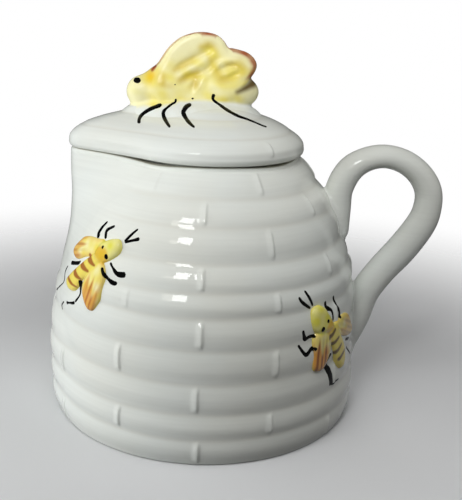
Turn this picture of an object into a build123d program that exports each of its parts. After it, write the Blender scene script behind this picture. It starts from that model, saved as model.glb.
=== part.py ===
from build123d import *
import os
from math import acos, asin, atan2, cos, degrees, radians, sin

# Beehive honey pot with a loose lid, all in millimetres.
# Origin: the pot's axis, on the plane of its foot. +X is the handle side, -X the spout, +Z up.

# --- pot: ten coil rows, listed from the foot to the rim -------------------------------------
ROW_HEIGHTS = [9.0, 8.1, 9.8, 10.6, 9.8, 7.1, 7.9, 10.0, 7.3, 8.5]
# Each groove between two rows, foot and rim included:
# (radius of the round body, how far the nose reaches past it, radius of the nose)
GROOVES = [
    (51.3, 1.0, 44.0),
    (52.3, 1.1, 44.0),
    (51.9, 1.7, 44.0),
    (51.5, 2.1, 44.0),
    (51.1, 1.0, 43.0),
    (49.9, 0.5, 41.0),
    (48.2, 0.7, 36.0),
    (45.0, 2.2, 27.0),
    (41.0, 5.4, 17.5),
    (35.7, 10.9, 12.0),
    (29.4, 17.2, 9.2),
]
COIL_BULGE = 0.7          # crest of a row past the line between its two grooves
PANEL_ROW = 5             # from this row up the nose is a smooth panel
LEAST_REACH = 0.3         # the nose stands at least this far out of the round body
WALL = 4.0
FOOT_RING = 5.0           # width of the ring that the pot stands on
FOOT_RECESS = 1.5
EDGE = 1.0                # rounding of the foot's and the rim's outer edge
FLOOR_CORNER = 7.0        # rounding between the inner floor and the wall
CUT_PAST = 1.0            # how far a hollow is cut past the face that it opens through

# --- upright bars, which divide each row into blocks -----------------------------------------
# Azimuths in each row, from the foot to the rim. They run from the front (-Y) towards +X. The
# smooth panel has no bars, nor has the wall under a bee in relief.
BARS = [
    [-60.0, -0.6, 51.9, 125.5, 179.5, 240.0],
    [-28.5, 24.2, 90.0, 153.5, 208.0, 270.0],
    [-60.0, -1.4, 54.5, 125.5, 179.5, 240.0],
    [-28.9, 25.8, 90.0, 153.5, 208.0, 270.0],
    [-0.5, 54.5, 125.5, 179.5],
    [-27.4, 26.7, 90.0, 153.5, 208.0],
    [-0.7, 54.5, 125.5, 179.5],
    [26.5, 90.0, 153.5],
    [-0.8, 54.5, 125.5, 179.5],
    [-28.0, 27.4, 90.0, 153.5, 208.0],
]
BAR_WIDTH = 1.8
BAR_PROUD = 0.7
BAR_SHAPE = [(0.04, 0.3), (0.2, 1.0), (0.8, 1.0), (0.96, 0.3)]   # (share of the row, of the bar)

# --- handle: centreline in the XZ plane, from the shoulder over the loop to the belly --------
HANDLE_WIDTH = 10.5       # across the loop, along Y
HANDLE_LOOP = [           # (out from the rim's radius, up from the rim, thickness)
    (14.3, -25.5, 9.2),
    (14.4, -18.5, 9.2),
    (14.6, -11.5, 9.3),
    (17.6, -5.0, 9.0),
    (22.6, -1.3, 8.1),
    (28.9, 0.1, 7.8),
    (35.6, -1.4, 8.0),
    (41.3, -5.4, 8.4),
    (44.8, -11.0, 9.0),
    (45.2, -17.2, 9.5),
    (43.4, -23.2, 10.2),
    (38.0, -31.8, 10.6),
    (31.4, -40.2, 10.3),
    (26.4, -48.4, 10.2),
]
HANDLE_TAIL = [           # (height, out from the belly's radius, thickness)
    (29.9, 0.5, 10.2),
    (17.0, -3.0, 6.0),
]

# --- lid --------------------------------------------------------------------------------------
LID_OVERHANG = 1.5        # past the rim, all round
LID_EDGE_HEIGHT = 2.6     # upright edge of the lid above the rim
LID_WALL = 4.0
# Steps up the dome: (rise above the lid's edge, inset of the round body, inset of the tip,
# radius of the nose). A groove runs round the lid where one row of steps meets the next.
LID_FIRST_STEP = (0.0, 0.0, 0.2, 9.9)
LID_ROWS = [
    [(2.0, 1.5, 1.9, 9.4), (5.1, 5.0, 5.4, 8.6)],
    [(7.4, 9.0, 11.4, 7.6), (9.6, 14.2, 18.0, 6.6)],
    [(11.6, 18.2, 21.5, 5.6), (13.4, 23.5, 28.0, 3.6)],
]
FLANGE_CLEARANCE = 0.8    # radial play of the locating flange in the mouth
FLANGE_DEPTH = 5.0
FLANGE_WALL = 3.0

# --- bee on the lid: it faces the spout ------------------------------------------------------
LID_BEE_PARTS = [         # (x, rise above the rim, half length, half width, half height)
    (-23.2, 18.6, 5.0, 4.8, 5.1),
    (-16.5, 20.9, 6.6, 5.6, 6.3),
    (-13.5, 19.4, 8.4, 6.2, 6.6),
    (3.2, 19.4, 11.4, 6.4, 6.4),
]
WING_OUTLINE = [          # (x, rise above the rim): the fore wing's front, tip, notch, hind wing
    (-14.0, 15.0),
    (-19.6, 18.8),
    (-19.6, 25.0),
    (-16.0, 31.8),
    (-11.2, 36.2),
    (-4.6, 38.1),
    (0.8, 37.0),
    (4.3, 33.6),
    (9.4, 32.6),
    (13.2, 28.8),
    (11.4, 23.8),
    (6.3, 18.8),
    (0.0, 15.0),
]
WING_ROOT = 15.0          # rise of the line about which the wings lean
WING_THICKNESS = 3.0
WING_LEAN = 3.0           # each wing leans this far out of upright
WING_SPACING = 1.8        # from the bee's middle to the middle of a wing's root
RIGHT_WING_FORWARD = 0.8  # the right wing sits this much nearer the head

# --- bees in relief on the pot's wall --------------------------------------------------------
SPOUT_BEE_HEIGHT = 57.5   # of its thorax above the foot
HANDLE_BEE_HEIGHT = 39.5
SPOUT_BEE_ANGLES = (-45.5, 44.0)     # azimuth, and direction of the head from upright towards +X
HANDLE_BEE_ANGLES = (49.0, -30.0)
RELIEF_PARTS = [          # (forward, to the left, half length, half width, proud)
    (7.0, 0.0, 4.2, 3.6, 2.2),
    (0.8, 0.0, 5.0, 4.2, 2.6),
    (-8.2, 0.0, 8.2, 4.0, 2.4),
    (-5.6, 6.4, 7.8, 3.9, 1.7),
    (-5.6, -6.4, 7.8, 3.9, 1.7),
]
RELIEF_TURN_ANGLES = (0.0, 0.0, 0.0, -38.0, 38.0)    # of each part, out of the bee's own line

RIM = sum(ROW_HEIGHTS)
RIM_RADIUS, RIM_REACH, RIM_NOSE = GROOVES[-1]
LID_EDGE = RIM + LID_EDGE_HEIGHT
MOUTH_RADIUS = RIM_RADIUS - WALL
LID_RADIUS = RIM_RADIUS + LID_OVERHANG
LID_TIP = RIM_RADIUS + RIM_REACH + LID_OVERHANG


def groove_height(row):
    """Height of the groove under the given row, counted from the foot."""
    return sum(ROW_HEIGHTS[:row])


def teardrop(height, round_radius, tip, nose_radius):
    """Face at a height: a circle round the axis and a nose circle, joined by their tangents."""
    nose_x = tip - nose_radius
    lean = acos((round_radius - nose_radius) / nose_x)
    side_x = -round_radius * cos(lean)
    side_y = round_radius * sin(lean)
    nose_side_x = -nose_x - nose_radius * cos(lean)
    nose_side_y = nose_radius * sin(lean)
    outline = Wire([
        ThreePointArc((side_x, -side_y), (round_radius, 0), (side_x, side_y)).edge(),
        Line((side_x, side_y), (nose_side_x, nose_side_y)).edge(),
        ThreePointArc((nose_side_x, nose_side_y), (-tip, 0), (nose_side_x, -nose_side_y)).edge(),
        Line((nose_side_x, -nose_side_y), (side_x, -side_y)).edge(),
    ])
    return Face(outline).moved(Location((0, 0, height)))


def groove_section(row, inset=0.0, height=None):
    """The pot's outline at a groove, moved inwards by an inset."""
    radius, reach, nose = GROOVES[row]
    at = groove_height(row) if height is None else height
    return teardrop(at, radius - inset, radius + reach - inset, nose - inset)


def between(low, high, share):
    """Values part of the way from one list to another."""
    return [a + (b - a) * share for a, b in zip(low, high)]


def crest_section(row):
    """The pot's outline halfway up a row, at its fullest."""
    radius, reach, nose = between(GROOVES[row], GROOVES[row + 1], 0.5)
    middle = (groove_height(row) + groove_height(row + 1)) / 2
    nose_bulge = COIL_BULGE if row < PANEL_ROW else 0.0
    reach = max(reach + nose_bulge, COIL_BULGE + LEAST_REACH)
    return teardrop(middle, radius + COIL_BULGE, radius + reach, nose)


def coil_row(row):
    """One bulging row of the hive, as a solid disc; the outermost rows leave room for an edge."""
    low = EDGE if row == 0 else groove_height(row)
    high = groove_height(row + 1)
    if row == len(ROW_HEIGHTS) - 1:
        high -= EDGE
    sections = [groove_section(row, 0, low), crest_section(row), groove_section(row + 1, 0, high)]
    return Solid.make_loft([section.outer_wire() for section in sections])


def edge_steps():
    """(inset, depth) along a rounded edge, from the flat face to the upright side."""
    steps = []
    for angle in (0.0, 45.0, 90.0):
        steps.append((EDGE * (1 - sin(radians(angle))), EDGE * (1 - cos(radians(angle)))))
    return steps


def pot_outer():
    """The whole outside of the pot, filled, with its foot and its rim rounded off."""
    rim_row = len(GROOVES) - 1
    foot = [groove_section(0, inset, depth) for inset, depth in edge_steps()]
    rim = [groove_section(rim_row, inset, RIM - depth) for inset, depth in edge_steps()]
    hive = Solid.make_loft([section.outer_wire() for section in foot])
    for row in range(len(ROW_HEIGHTS)):
        hive = hive + coil_row(row)
    return hive + Solid.make_loft([section.outer_wire() for section in reversed(rim)])


def pot_cavity():
    """The space inside the pot, from its floor up through the mouth."""
    floor = FOOT_RECESS + WALL
    wires = []
    for angle in (0.0, 30.0, 60.0):
        inset = WALL + FLOOR_CORNER * (1 - sin(radians(angle)))
        rise = FLOOR_CORNER * (1 - cos(radians(angle)))
        wires.append(groove_section(1, inset, floor + rise).outer_wire())
    for row in range(2, len(GROOVES)):
        wires.append(groove_section(row, WALL).outer_wire())
    wires.append(groove_section(len(GROOVES) - 1, WALL, RIM + CUT_PAST).outer_wire())
    return Solid.make_loft(wires, ruled=True)


def angle_off_nose(azimuth):
    """How far an azimuth lies from the nose, 0 to 180 degrees."""
    return abs((azimuth + 270.0) % 360.0 - 180.0)


def wall_radius(row_values, azimuth):
    """Distance from the axis to the outline at an azimuth, for (radius, reach, nose)."""
    radius, reach, nose = row_values
    nose_x = radius + reach - nose
    lean = acos((radius - nose) / nose_x)
    off_nose = angle_off_nose(azimuth)
    if off_nose >= degrees(lean):
        return radius
    tip_side = degrees(atan2(nose * sin(lean), nose_x + nose * cos(lean)))
    if off_nose >= tip_side:
        return radius / cos(lean - radians(off_nose))
    bearing = radians(off_nose)
    return nose_x * cos(bearing) + (nose ** 2 - (nose_x * sin(bearing)) ** 2) ** 0.5


def direction(azimuth):
    """Unit vector at an azimuth, measured from the front (-Y) towards +X."""
    return Vector(sin(radians(azimuth)), -cos(radians(azimuth)), 0)


def bar(row, azimuth):
    """One upright bar, half sunk in its row, that fades out at its ends."""
    wires = []
    out = direction(azimuth)
    for share, size in BAR_SHAPE:
        values = between(GROOVES[row], GROOVES[row + 1], share)
        bulge = COIL_BULGE * 4 * share * (1 - share)
        height = groove_height(row) + ROW_HEIGHTS[row] * share
        centre = out * (wall_radius(values, azimuth) + bulge) + Vector(0, 0, height)
        plane = Plane(origin=centre, x_dir=out, z_dir=(0, 0, 1))
        oval = plane * Ellipse(BAR_PROUD * size, BAR_WIDTH / 2 * (1 + size) / 2)
        wires.append(oval.face().outer_wire())
    return Solid.make_loft(wires)


def bars():
    """Every bar of the hive."""
    made = []
    for row, azimuths in enumerate(BARS):
        for azimuth in azimuths:
            made.append(bar(row, azimuth))
    return made


def make_pot(barred_hive):
    """The pot's shell: the hive with its bars, hollowed, with a recessed foot."""
    recess_radius = GROOVES[0][0] - FOOT_RING
    recess = Cylinder(recess_radius, FOOT_RECESS, align=(Align.CENTER, Align.CENTER, Align.MIN))
    return barred_hive - pot_cavity() - recess


def handle_section(x, height, heading, thickness, width):
    """Oval across the handle at a point of its centreline."""
    along = Vector(cos(radians(heading)), 0, sin(radians(heading)))
    plane = Plane(origin=(x, 0, height), x_dir=(0, 1, 0), z_dir=along)
    return (plane * Ellipse(width / 2, thickness / 2)).face().outer_wire()


def make_handle(outer):
    """The looped handle, from the shoulder to the belly, ending on the pot's wall."""
    belly = max(radius for radius, reach, nose in GROOVES)
    stations = [(RIM_RADIUS + out, RIM + up, thickness) for out, up, thickness in HANDLE_LOOP]
    stations += [(belly + out, height, thickness) for height, out, thickness in HANDLE_TAIL]
    wires = []
    for index, (x, height, thickness) in enumerate(stations):
        before = stations[max(index - 1, 0)]
        after = stations[min(index + 1, len(stations) - 1)]
        heading = degrees(atan2(after[1] - before[1], after[0] - before[0]))
        wires.append(handle_section(x, height, heading, thickness, HANDLE_WIDTH))
    return Solid.make_loft(wires) - outer


def lid_section(rise, inset, tip_inset, nose):
    """The lid's outline at a step of its dome."""
    return teardrop(LID_EDGE + rise, LID_RADIUS - inset, LID_TIP - tip_inset, nose)


def lid_outer():
    """The outside of the lid, filled: its upright edge, then the dome with its two grooves."""
    nose = LID_FIRST_STEP[-1]
    edge_wires = []
    for inset, depth in edge_steps():
        section = teardrop(RIM + depth, LID_RADIUS - inset, LID_TIP - inset, nose - inset)
        edge_wires.append(section.outer_wire())
    edge_wires.append(lid_section(*LID_FIRST_STEP).outer_wire())
    shape = Solid.make_loft(edge_wires, ruled=True)
    start = LID_FIRST_STEP
    for row in LID_ROWS:
        wires = [lid_section(*step).outer_wire() for step in [start] + row]
        shape = shape + Solid.make_loft(wires)
        start = row[-1]
    return shape


def make_lid(outer):
    """The lid: a domed shell with a locating flange that drops into the mouth."""
    flange_outer = MOUTH_RADIUS - FLANGE_CLEARANCE
    flange_inner = flange_outer - FLANGE_WALL
    flange = Pos(0, 0, RIM - FLANGE_DEPTH) * Cylinder(
        flange_outer, FLANGE_DEPTH, align=(Align.CENTER, Align.CENTER, Align.MIN)
    )
    under = RIM - FLANGE_DEPTH - CUT_PAST
    edge_row, middle_row, _ = LID_ROWS
    springing = LID_EDGE + edge_row[0][0] - LID_WALL / 2
    crown = LID_EDGE + middle_row[-1][0] - LID_WALL
    vault = (flange_inner ** 2 + (crown - springing) ** 2) / (2 * (crown - springing))
    lean = asin(flange_inner / vault) / 2
    with BuildPart() as hollow:
        with BuildSketch(Plane.XZ):
            with BuildLine():
                Polyline((0, crown), (0, under), (flange_inner, under), (flange_inner, springing))
                ThreePointArc(
                    (flange_inner, springing),
                    (vault * sin(lean), crown - vault * (1 - cos(lean))),
                    (0, crown),
                )
            make_face()
        revolve(axis=Axis.Z)
    return outer + flange - hollow.part


def spheroid(half_length, half_width, half_height):
    """Egg-like lump round the origin, longest along X."""
    return scale(Sphere(1), by=(half_length, half_width, half_height))


def make_lid_bee_body(lid_filled):
    """Head, neck, thorax and abdomen of the bee, seated on the lid."""
    shape = None
    for x, rise, half_length, half_width, half_height in LID_BEE_PARTS:
        lump = Pos(x, 0, RIM + rise) * spheroid(half_length, half_width, half_height)
        shape = lump if shape is None else shape + lump
    return shape - lid_filled


def make_wing_pair(side):
    """The fore and hind wing of one side, as one slab that leans outwards (side is -1 or 1)."""
    outline = Spline(*[(x, rise - WING_ROOT) for x, rise in WING_OUTLINE], periodic=True)
    face = make_face(Plane.XZ * outline)
    slab = extrude(face, amount=WING_THICKNESS / 2, both=True)
    forward = RIGHT_WING_FORWARD if side > 0 else 0.0
    root = Pos(-forward, side * WING_SPACING, RIM + WING_ROOT)
    return root * Rot(-side * WING_LEAN, 0, 0) * slab


def row_at(height):
    """Row in which a height lies, and the share of the row below it."""
    row = 0
    while row < len(ROW_HEIGHTS) - 1 and groove_height(row + 1) < height:
        row += 1
    return row, (height - groove_height(row)) / ROW_HEIGHTS[row]


def wall_plane(azimuth, height):
    """Plane on the pot's wall: x to the viewer's right, y up the wall, z outwards."""
    row, share = row_at(height)
    here = wall_radius(between(GROOVES[row], GROOVES[row + 1], share), azimuth)
    low = wall_radius(GROOVES[row], azimuth)
    high = wall_radius(GROOVES[row + 1], azimuth)
    out = direction(azimuth)
    across = Vector(cos(radians(azimuth)), sin(radians(azimuth)), 0)
    up = (out * (high - low) + Vector(0, 0, ROW_HEIGHTS[row])).normalized()
    origin = Vector(out.X * here, out.Y * here, height)
    return Plane(origin=origin, x_dir=across, z_dir=across.cross(up))


def make_relief_bee(angles, height, back, outer):
    """A bee in relief: its lumps each lie on the wall, and end at it. A back bee is mirrored."""
    azimuth, heading = angles
    if back:
        azimuth, heading = 180.0 - azimuth, -heading
    shape = None
    row, share = row_at(height)
    radius = between(GROOVES[row], GROOVES[row + 1], share)[0]
    for part, turn in zip(RELIEF_PARTS, RELIEF_TURN_ANGLES):
        forward, left, half_length, half_width, proud = part
        lift = forward * cos(radians(heading)) + left * sin(radians(heading))
        aside = forward * sin(radians(heading)) - left * cos(radians(heading))
        plane = wall_plane(azimuth + degrees(aside / radius), height + lift)
        lump = spheroid(half_length, half_width, proud)
        placed = plane * Rot(0, 0, 90.0 - heading + turn) * lump
        shape = placed if shape is None else shape + placed
    return shape - outer


def solid_of(shape):
    """The one solid that a shape should hold; loose slivers beside it are left out."""
    return max(shape.solids(), key=lambda solid: solid.volume)


def save(name, shape):
    """Write one node."""
    export_step(shape, os.path.join("parts", name + ".step"))


def main():
    os.makedirs("parts", exist_ok=True)
    hive = pot_outer().fuse(*bars())
    save("pot_body", solid_of(make_pot(hive)))
    save("handle", solid_of(make_handle(hive)))
    for side, back in (("front", False), ("back", True)):
        bee = make_relief_bee(SPOUT_BEE_ANGLES, SPOUT_BEE_HEIGHT, back, hive)
        save("relief_bee_spout_" + side, solid_of(bee))
        bee = make_relief_bee(HANDLE_BEE_ANGLES, HANDLE_BEE_HEIGHT, back, hive)
        save("relief_bee_handle_" + side, solid_of(bee))
    dome = lid_outer()
    save("lid", solid_of(make_lid(dome)))
    bee = solid_of(make_lid_bee_body(dome))
    save("lid_bee_body", bee)
    left = make_wing_pair(-1) - bee - dome
    right = make_wing_pair(1) - bee - dome - left
    save("lid_bee_wings_left", solid_of(left))
    save("lid_bee_wings_right", solid_of(right))


main()
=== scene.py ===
from math import cos, pi, radians, sin

import bpy
import numpy as np
from mathutils import Matrix, Vector
from mathutils.bvhtree import BVHTree


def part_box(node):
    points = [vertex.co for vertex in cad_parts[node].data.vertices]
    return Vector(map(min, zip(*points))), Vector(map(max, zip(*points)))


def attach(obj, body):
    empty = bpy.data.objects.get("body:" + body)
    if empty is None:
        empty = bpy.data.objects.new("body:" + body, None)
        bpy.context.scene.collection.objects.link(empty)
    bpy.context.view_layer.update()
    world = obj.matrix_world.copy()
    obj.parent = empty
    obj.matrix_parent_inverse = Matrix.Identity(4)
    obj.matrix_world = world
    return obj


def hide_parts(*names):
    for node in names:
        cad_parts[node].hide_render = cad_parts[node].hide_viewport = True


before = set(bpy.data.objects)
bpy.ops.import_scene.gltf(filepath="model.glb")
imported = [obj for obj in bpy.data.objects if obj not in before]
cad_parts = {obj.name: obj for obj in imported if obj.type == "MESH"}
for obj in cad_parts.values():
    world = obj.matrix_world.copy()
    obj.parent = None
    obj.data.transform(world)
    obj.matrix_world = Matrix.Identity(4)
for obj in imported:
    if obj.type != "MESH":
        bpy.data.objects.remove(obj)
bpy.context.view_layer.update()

# Beehive honey pot. Geometry is worked out in millimetres and scaled once, when a mesh is made.
# Azimuths run in degrees from the front (-Y) towards +X, where the handle is; the lip is at -X.
MM = 0.001

# --- pot ---------------------------------------------------------------------------------------
ROW_HEIGHTS = [9.0, 8.1, 9.8, 10.6, 9.8, 7.1, 7.9, 10.0, 7.3, 8.5]
GROOVES = np.array([      # round radius, reach of the nose, radius of the nose, foot to rim
    (51.3, 1.0, 44.0), (52.3, 1.1, 44.0), (51.9, 1.7, 44.0), (51.5, 2.1, 44.0),
    (51.1, 1.0, 43.0), (49.9, 0.5, 41.0), (48.2, 0.7, 36.0), (45.0, 2.2, 27.0),
    (41.0, 5.4, 17.5), (35.7, 10.9, 12.0), (29.4, 17.2, 9.2),
])
GROOVE_Z = np.concatenate([[0.0], np.cumsum(ROW_HEIGHTS)])
RIM = GROOVE_Z[-1]
COIL_BULGE = 0.7
COIL_DEPTH = 0.58         # from a row's crest down to its grooves
COIL_MEAN = 0.5           # the smoothed wall lies this far past the grooves' line
VALLEY_ROUNDING = 0.36
ROW_SWAY = 0.16           # the rows rise and fall this much on their way round,
ROW_RIPPLE = 0.1          # with a smaller, quicker ripple,
LEVEL_ENDS = 6.0          # except this near the foot and the rim
PANEL_HEIGHTS = (44.0, 49.0)   # the lip's side turns into a smooth panel between these heights
PANEL_ANGLES = (36.0, 58.0)    # and the coils fade in between these angles off the nose
FLANK_HOLLOW = 0.7        # the lip's flanks are this hollow at the rim
HOLLOW_FROM = 60.0        # and not at all below this height
WALL = 4.0
FOOT_RING = 5.0
FOOT_RECESS = 1.5
FLOOR_CORNER = 7.0
EDGE = 1.0
INNER_EDGE = 0.7
BARS = [                  # azimuths of the upright bars in each row, foot to rim
    [-60.0, -0.6, 51.9, 125.5, 179.5, 240.0],
    [-28.5, 24.2, 90.0, 153.5, 208.0, 270.0],
    [-60.0, -1.4, 54.5, 125.5, 179.5, 240.0],
    [-28.9, 25.8, 90.0, 153.5, 208.0, 270.0],
    [-0.5, 54.5, 125.5, 179.5],
    [-27.4, 26.7, 90.0, 153.5, 208.0],
    [-0.7, 54.5, 125.5, 179.5],
    [26.5, 90.0, 153.5],
    [-0.8, 54.5, 125.5, 179.5],
    [-28.0, 27.4, 90.0, 153.5, 208.0],
]
FAINT_BARS = [(9, -28.0), (9, 208.0), (5, -27.4), (5, 208.0)]   # row, azimuth
FAINTNESS = 0.4
BAR_SHOULDER = 2.8        # the wall rises gently up to each bar over this width
BAR_FALL = 1.0            # and drops away steeply past it
BAR_PROUD = 0.45
BAR_CREST = 0.1           # how far past its azimuth a bar's crest reaches
BAR_ENDS = (0.03, 0.25)   # share of the row's height over which a bar dies away
RIM_DIP = [               # azimuth, and how far the rim dips there, so that a gap shows
    (-180.0, 0.0), (-81.0, 0.0), (-68.0, 0.15), (-58.0, 0.45), (-48.0, 0.9), (-38.0, 1.2),
    (-28.0, 1.1), (-16.0, 0.7), (-4.0, 0.5), (12.0, 0.4), (25.0, 0.5), (38.0, 0.8),
    (52.0, 0.9), (66.0, 0.6), (90.0, 0.3), (125.0, 0.2), (150.0, 0.0), (180.0, 0.0),
]
RIM_BARE_AND_SHADED = 0.9            # how bare the top of the rim is, with painted shade for the gap under the lid, 0 to 1
DIP_DEPTH = 8.0           # the dip fades out this far below the rim
GROOVE_DARK = (0.16, 0.7)      # strength and width of the shade in the grooves
EVEN_STEP = 0.9           # degrees between the points of a ring
BAR_POINTS = (3.2, 1.2, 0.25)  # degrees before and after a bar with finer points, and their step
POT_RINGS = 0.4           # height between the rings of the wall
INNER_RINGS = 44          # down the inner wall

# --- handle ------------------------------------------------------------------------------------
HANDLE_WIDTH = 10.5
HANDLE_LOOP = [           # out from the rim's radius, up from the rim, thickness
    (14.3, -25.5, 9.2), (14.4, -18.5, 9.2), (14.6, -11.5, 9.3), (17.6, -5.0, 9.0),
    (22.6, -1.3, 8.1), (28.9, 0.1, 7.8), (35.6, -1.4, 8.0), (41.3, -5.4, 8.4),
    (44.8, -11.0, 9.0), (45.2, -17.2, 9.5), (43.4, -23.2, 10.2), (38.0, -31.8, 10.6),
    (31.4, -40.2, 10.3), (26.4, -48.4, 10.2),
]
HANDLE_TAIL = [(29.9, 0.5, 10.2), (17.0, -3.0, 6.0)]   # height, out from the belly, thickness
SEAT_LIFT = 0.3           # a fillet starts this far under the surface that it lies on
HANDLE_SEAT = (0.6, 1.5, 2.2, 2.6)   # fade, reach, fillet and depth, as in seated()
HANDLE_MARGINS = ((6.0, 8.0, 6.0), (1.5, 7.5, 1.5))   # searched round the solid's box
HANDLE_CELL = 0.55

# --- lid ---------------------------------------------------------------------------------------
LID_OVERHANG = 1.5
LID_EDGE = RIM + 2.6
LID_STEPS = np.array([    # rise above the edge, inset of the round part, inset of the tip, nose
    (-0.6, 0.0, 0.9, 9.9), (0.9, 0.25, 1.1, 9.8), (2.5, 1.25, 2.1, 9.4), (5.2, 4.6, 5.4, 8.7),
    (7.4, 9.0, 11.4, 7.6), (9.6, 14.2, 18.0, 6.6), (11.6, 18.2, 21.5, 5.6), (13.4, 23.5, 28.0, 3.6),
])
LID_ROLL = 1.9            # rounding under the lid's edge
LID_GROOVES = (3.0, 5.0)  # steps at which a groove runs round the lid
LID_GROOVE_DEPTH = 0.35
LID_SWELL = (0.5, 0.85)   # share of the lid's relief that goes outwards and upwards
LID_SHADE = (0.2, 0.14)   # strength and width, in steps, of the shade in the grooves
LID_BAR = (38.5, 0.0, 2.8)     # azimuth, first and last step of the lid's upright bar
LID_BAR_ENDS = (0.8, 0.7)      # steps over which it dies away at its foot and head
LID_BAR_POINTS = (2.4, 2.4, 0.3)   # as BAR_POINTS
LID_FLANK_STEPS = 2.6     # the hollow flanks fade out over these steps
LID_WALL = 4.0
FLANGE_OUTER = 24.6
FLANGE_INNER = 21.6
FLANGE_DEPTH = 5.0
FLANGE_EDGE = 0.6
LID_RADIUS = GROOVES[-1][0] + LID_OVERHANG
LID_TIP = GROOVES[-1][0] + GROOVES[-1][1] + LID_OVERHANG

# --- bee on the lid ----------------------------------------------------------------------------
BEE_LUMPS = [             # centre, half sizes
    ((-23.2, 0.0, 106.7), (5.0, 4.8, 5.1)),
    ((-16.5, 0.0, 109.0), (6.6, 5.6, 6.3)),
    ((-13.5, 0.0, 107.5), (8.2, 6.2, 6.4)),
    ((3.4, 0.0, 107.7), (11.6, 6.4, 6.6)),
]
BEE_FILLETS = (2.5, 2.5, 3.0)   # where the second, third and fourth lump join
BEE_PAD = ((-5.5, 0.0, 99.8), (21.0, 12.3, 5.6))
WING_FILLET = 1.8
PAD_FILLET = 1.6
BEE_SEAT = (0.5, 1.2, 2.2, 2.0)      # as HANDLE_SEAT
BEE_BOX = ((-31.0, -15.5, 93.0), (18.5, 15.5, 127.5))
BEE_CELL = 0.42
WING_OUTLINE = [          # x, height
    (-14.0, 103.0), (-19.0, 106.9), (-19.2, 110.7), (-18.1, 114.5), (-16.2, 118.1),
    (-14.0, 121.4), (-10.7, 124.5), (-6.9, 126.2), (-3.7, 126.8), (-0.6, 126.6),
    (1.8, 125.6), (3.6, 123.8), (4.9, 121.9), (7.2, 121.6), (10.4, 120.8), (12.8, 119.1),
    (14.0, 116.8), (13.4, 114.4), (11.5, 111.8), (9.3, 109.5), (6.3, 106.9), (0.0, 103.0),
]
WING_FACE = [             # height, and how far the wing's outer face is from the middle plane
    (102.0, 7.2), (106.0, 6.7), (111.0, 5.3), (118.0, 3.9), (127.0, 2.9),
]
WING_GAP = [(102.0, 0.0), (113.0, 0.0), (120.0, 0.7), (127.0, 1.5)]   # the same of its inner face
WING_ROUNDING = 2.6       # of its outline
SLAB_ROUNDING = 0.8       # where its two faces meet
RIGHT_WING_SHIFT = (-0.8, 0.0)
WING_FOLDS = [            # height of the fold, half width, course as x and height
    (-0.85, 1.1, [(-0.1, 121.8), (-1.6, 120.9), (-4.1, 119.3), (-7.0, 117.5), (-10.3, 115.7),
                  (-12.5, 113.9)]),
    (0.45, 1.0, [(-1.4, 118.7), (-3.7, 117.1), (-6.9, 115.0), (-9.6, 113.2), (-11.6, 111.3)]),
    (-0.7, 0.9, [(0.5, 117.7), (-1.3, 115.5), (-3.6, 113.8), (-6.4, 112.9), (-8.4, 111.8),
                 (-10.4, 110.2)]),
    (0.4, 0.9, [(-1.2, 113.7), (-2.8, 112.1), (-3.9, 109.6), (-5.1, 107.6)]),
    (-0.45, 0.8, [(-5.2, 112.0), (-6.3, 109.9), (-7.1, 107.5)]),
    (0.5, 0.8, [(0.1, 114.9), (2.3, 116.8), (5.1, 117.8), (7.9, 117.6), (9.7, 116.1)]),
    (-0.5, 0.6, [(1.4, 114.5), (3.5, 115.5), (5.9, 116.3), (7.7, 116.2)]),
    (0.45, 0.7, [(2.8, 112.7), (5.2, 113.7), (7.8, 115.2)]),
    (-0.75, 0.8, [(1.5, 111.2), (4.1, 111.9), (6.1, 112.8), (8.0, 114.2)]),
]
FOLD_SOFTNESS = 1.3
FOLD_SHARE = 0.85         # how much of the folds stands in the surface
WING_RIM = [              # x, and how far round the wing's edge the brown rim reaches, 0 to 1
    (-20.0, -0.2), (-12.0, -0.1), (-8.0, 0.25), (-5.5, 0.75), (-4.0, 0.93), (0.4, 0.93),
    (1.4, 0.65), (4.9, 0.6), (6.2, 0.88), (12.0, 0.95), (14.5, 0.9),
]
WING_WASHES = [           # strong yellow brushed on, as x, height and width
    [(-4.0, 121.6, 1.5), (-2.0, 121.7, 3.2), (-0.9, 120.7, 3.4), (0.1, 119.0, 2.6)],
    [(-0.8, 117.5, 1.6), (0.8, 114.8, 2.0), (2.8, 112.3, 3.0), (5.9, 112.8, 2.6),
     (9.0, 114.0, 1.6)],
    [(4.5, 116.6, 1.2), (7.5, 116.4, 2.6), (9.3, 115.3, 2.2)],
    [(-16.0, 112.0, 1.8), (-15.9, 109.3, 2.8), (-13.8, 108.3, 2.6)],
    [(-5.6, 112.0, 1.6), (-5.7, 109.0, 3.0), (-6.9, 107.2, 3.0)],
    [(-10.4, 111.2, 1.8), (-7.8, 112.6, 1.8), (-5.2, 113.8, 1.4)],
    [(-12.4, 114.1, 1.0), (-10.3, 115.4, 1.0), (-6.8, 117.4, 1.2)],
]
WING_GLOWS = [            # soft yellow: strength, then x, height, half width and half height
    (0.35, (-2.5, 117.5, 6.5, 4.2)), (0.65, (6.5, 113.5, 5.0, 3.2)), (0.8, (-0.8, 120.0, 2.6, 2.0)),
]
FACE_GLOW = (-20.2, 111.6, 3.0, 3.0)      # strong yellow, as x, height and half sizes
CHEEK_GLOW = (-19.8, 112.2, 1.8, 1.8)     # orange
WING_SPOT = [(-19.5, 113.9, 1.3), (-18.9, 115.0, 1.2)]
# painted shade in the recess under the hind wing, over the abdomen, as x, height and width
BEE_RECESS_SHADE = [(12.7, 113.2, 1.4), (13.3, 111.2, 2.8), (11.6, 110.0, 2.2), (8.0, 108.2, 1.0)]
BEE_FOOT_LINE = [         # x and height at which the yellow ends and the white begins
    (-30.0, 102.2), (-17.0, 102.8), (-10.0, 104.6), (-2.0, 105.3), (8.0, 104.4), (20.0, 103.4),
]

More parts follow.
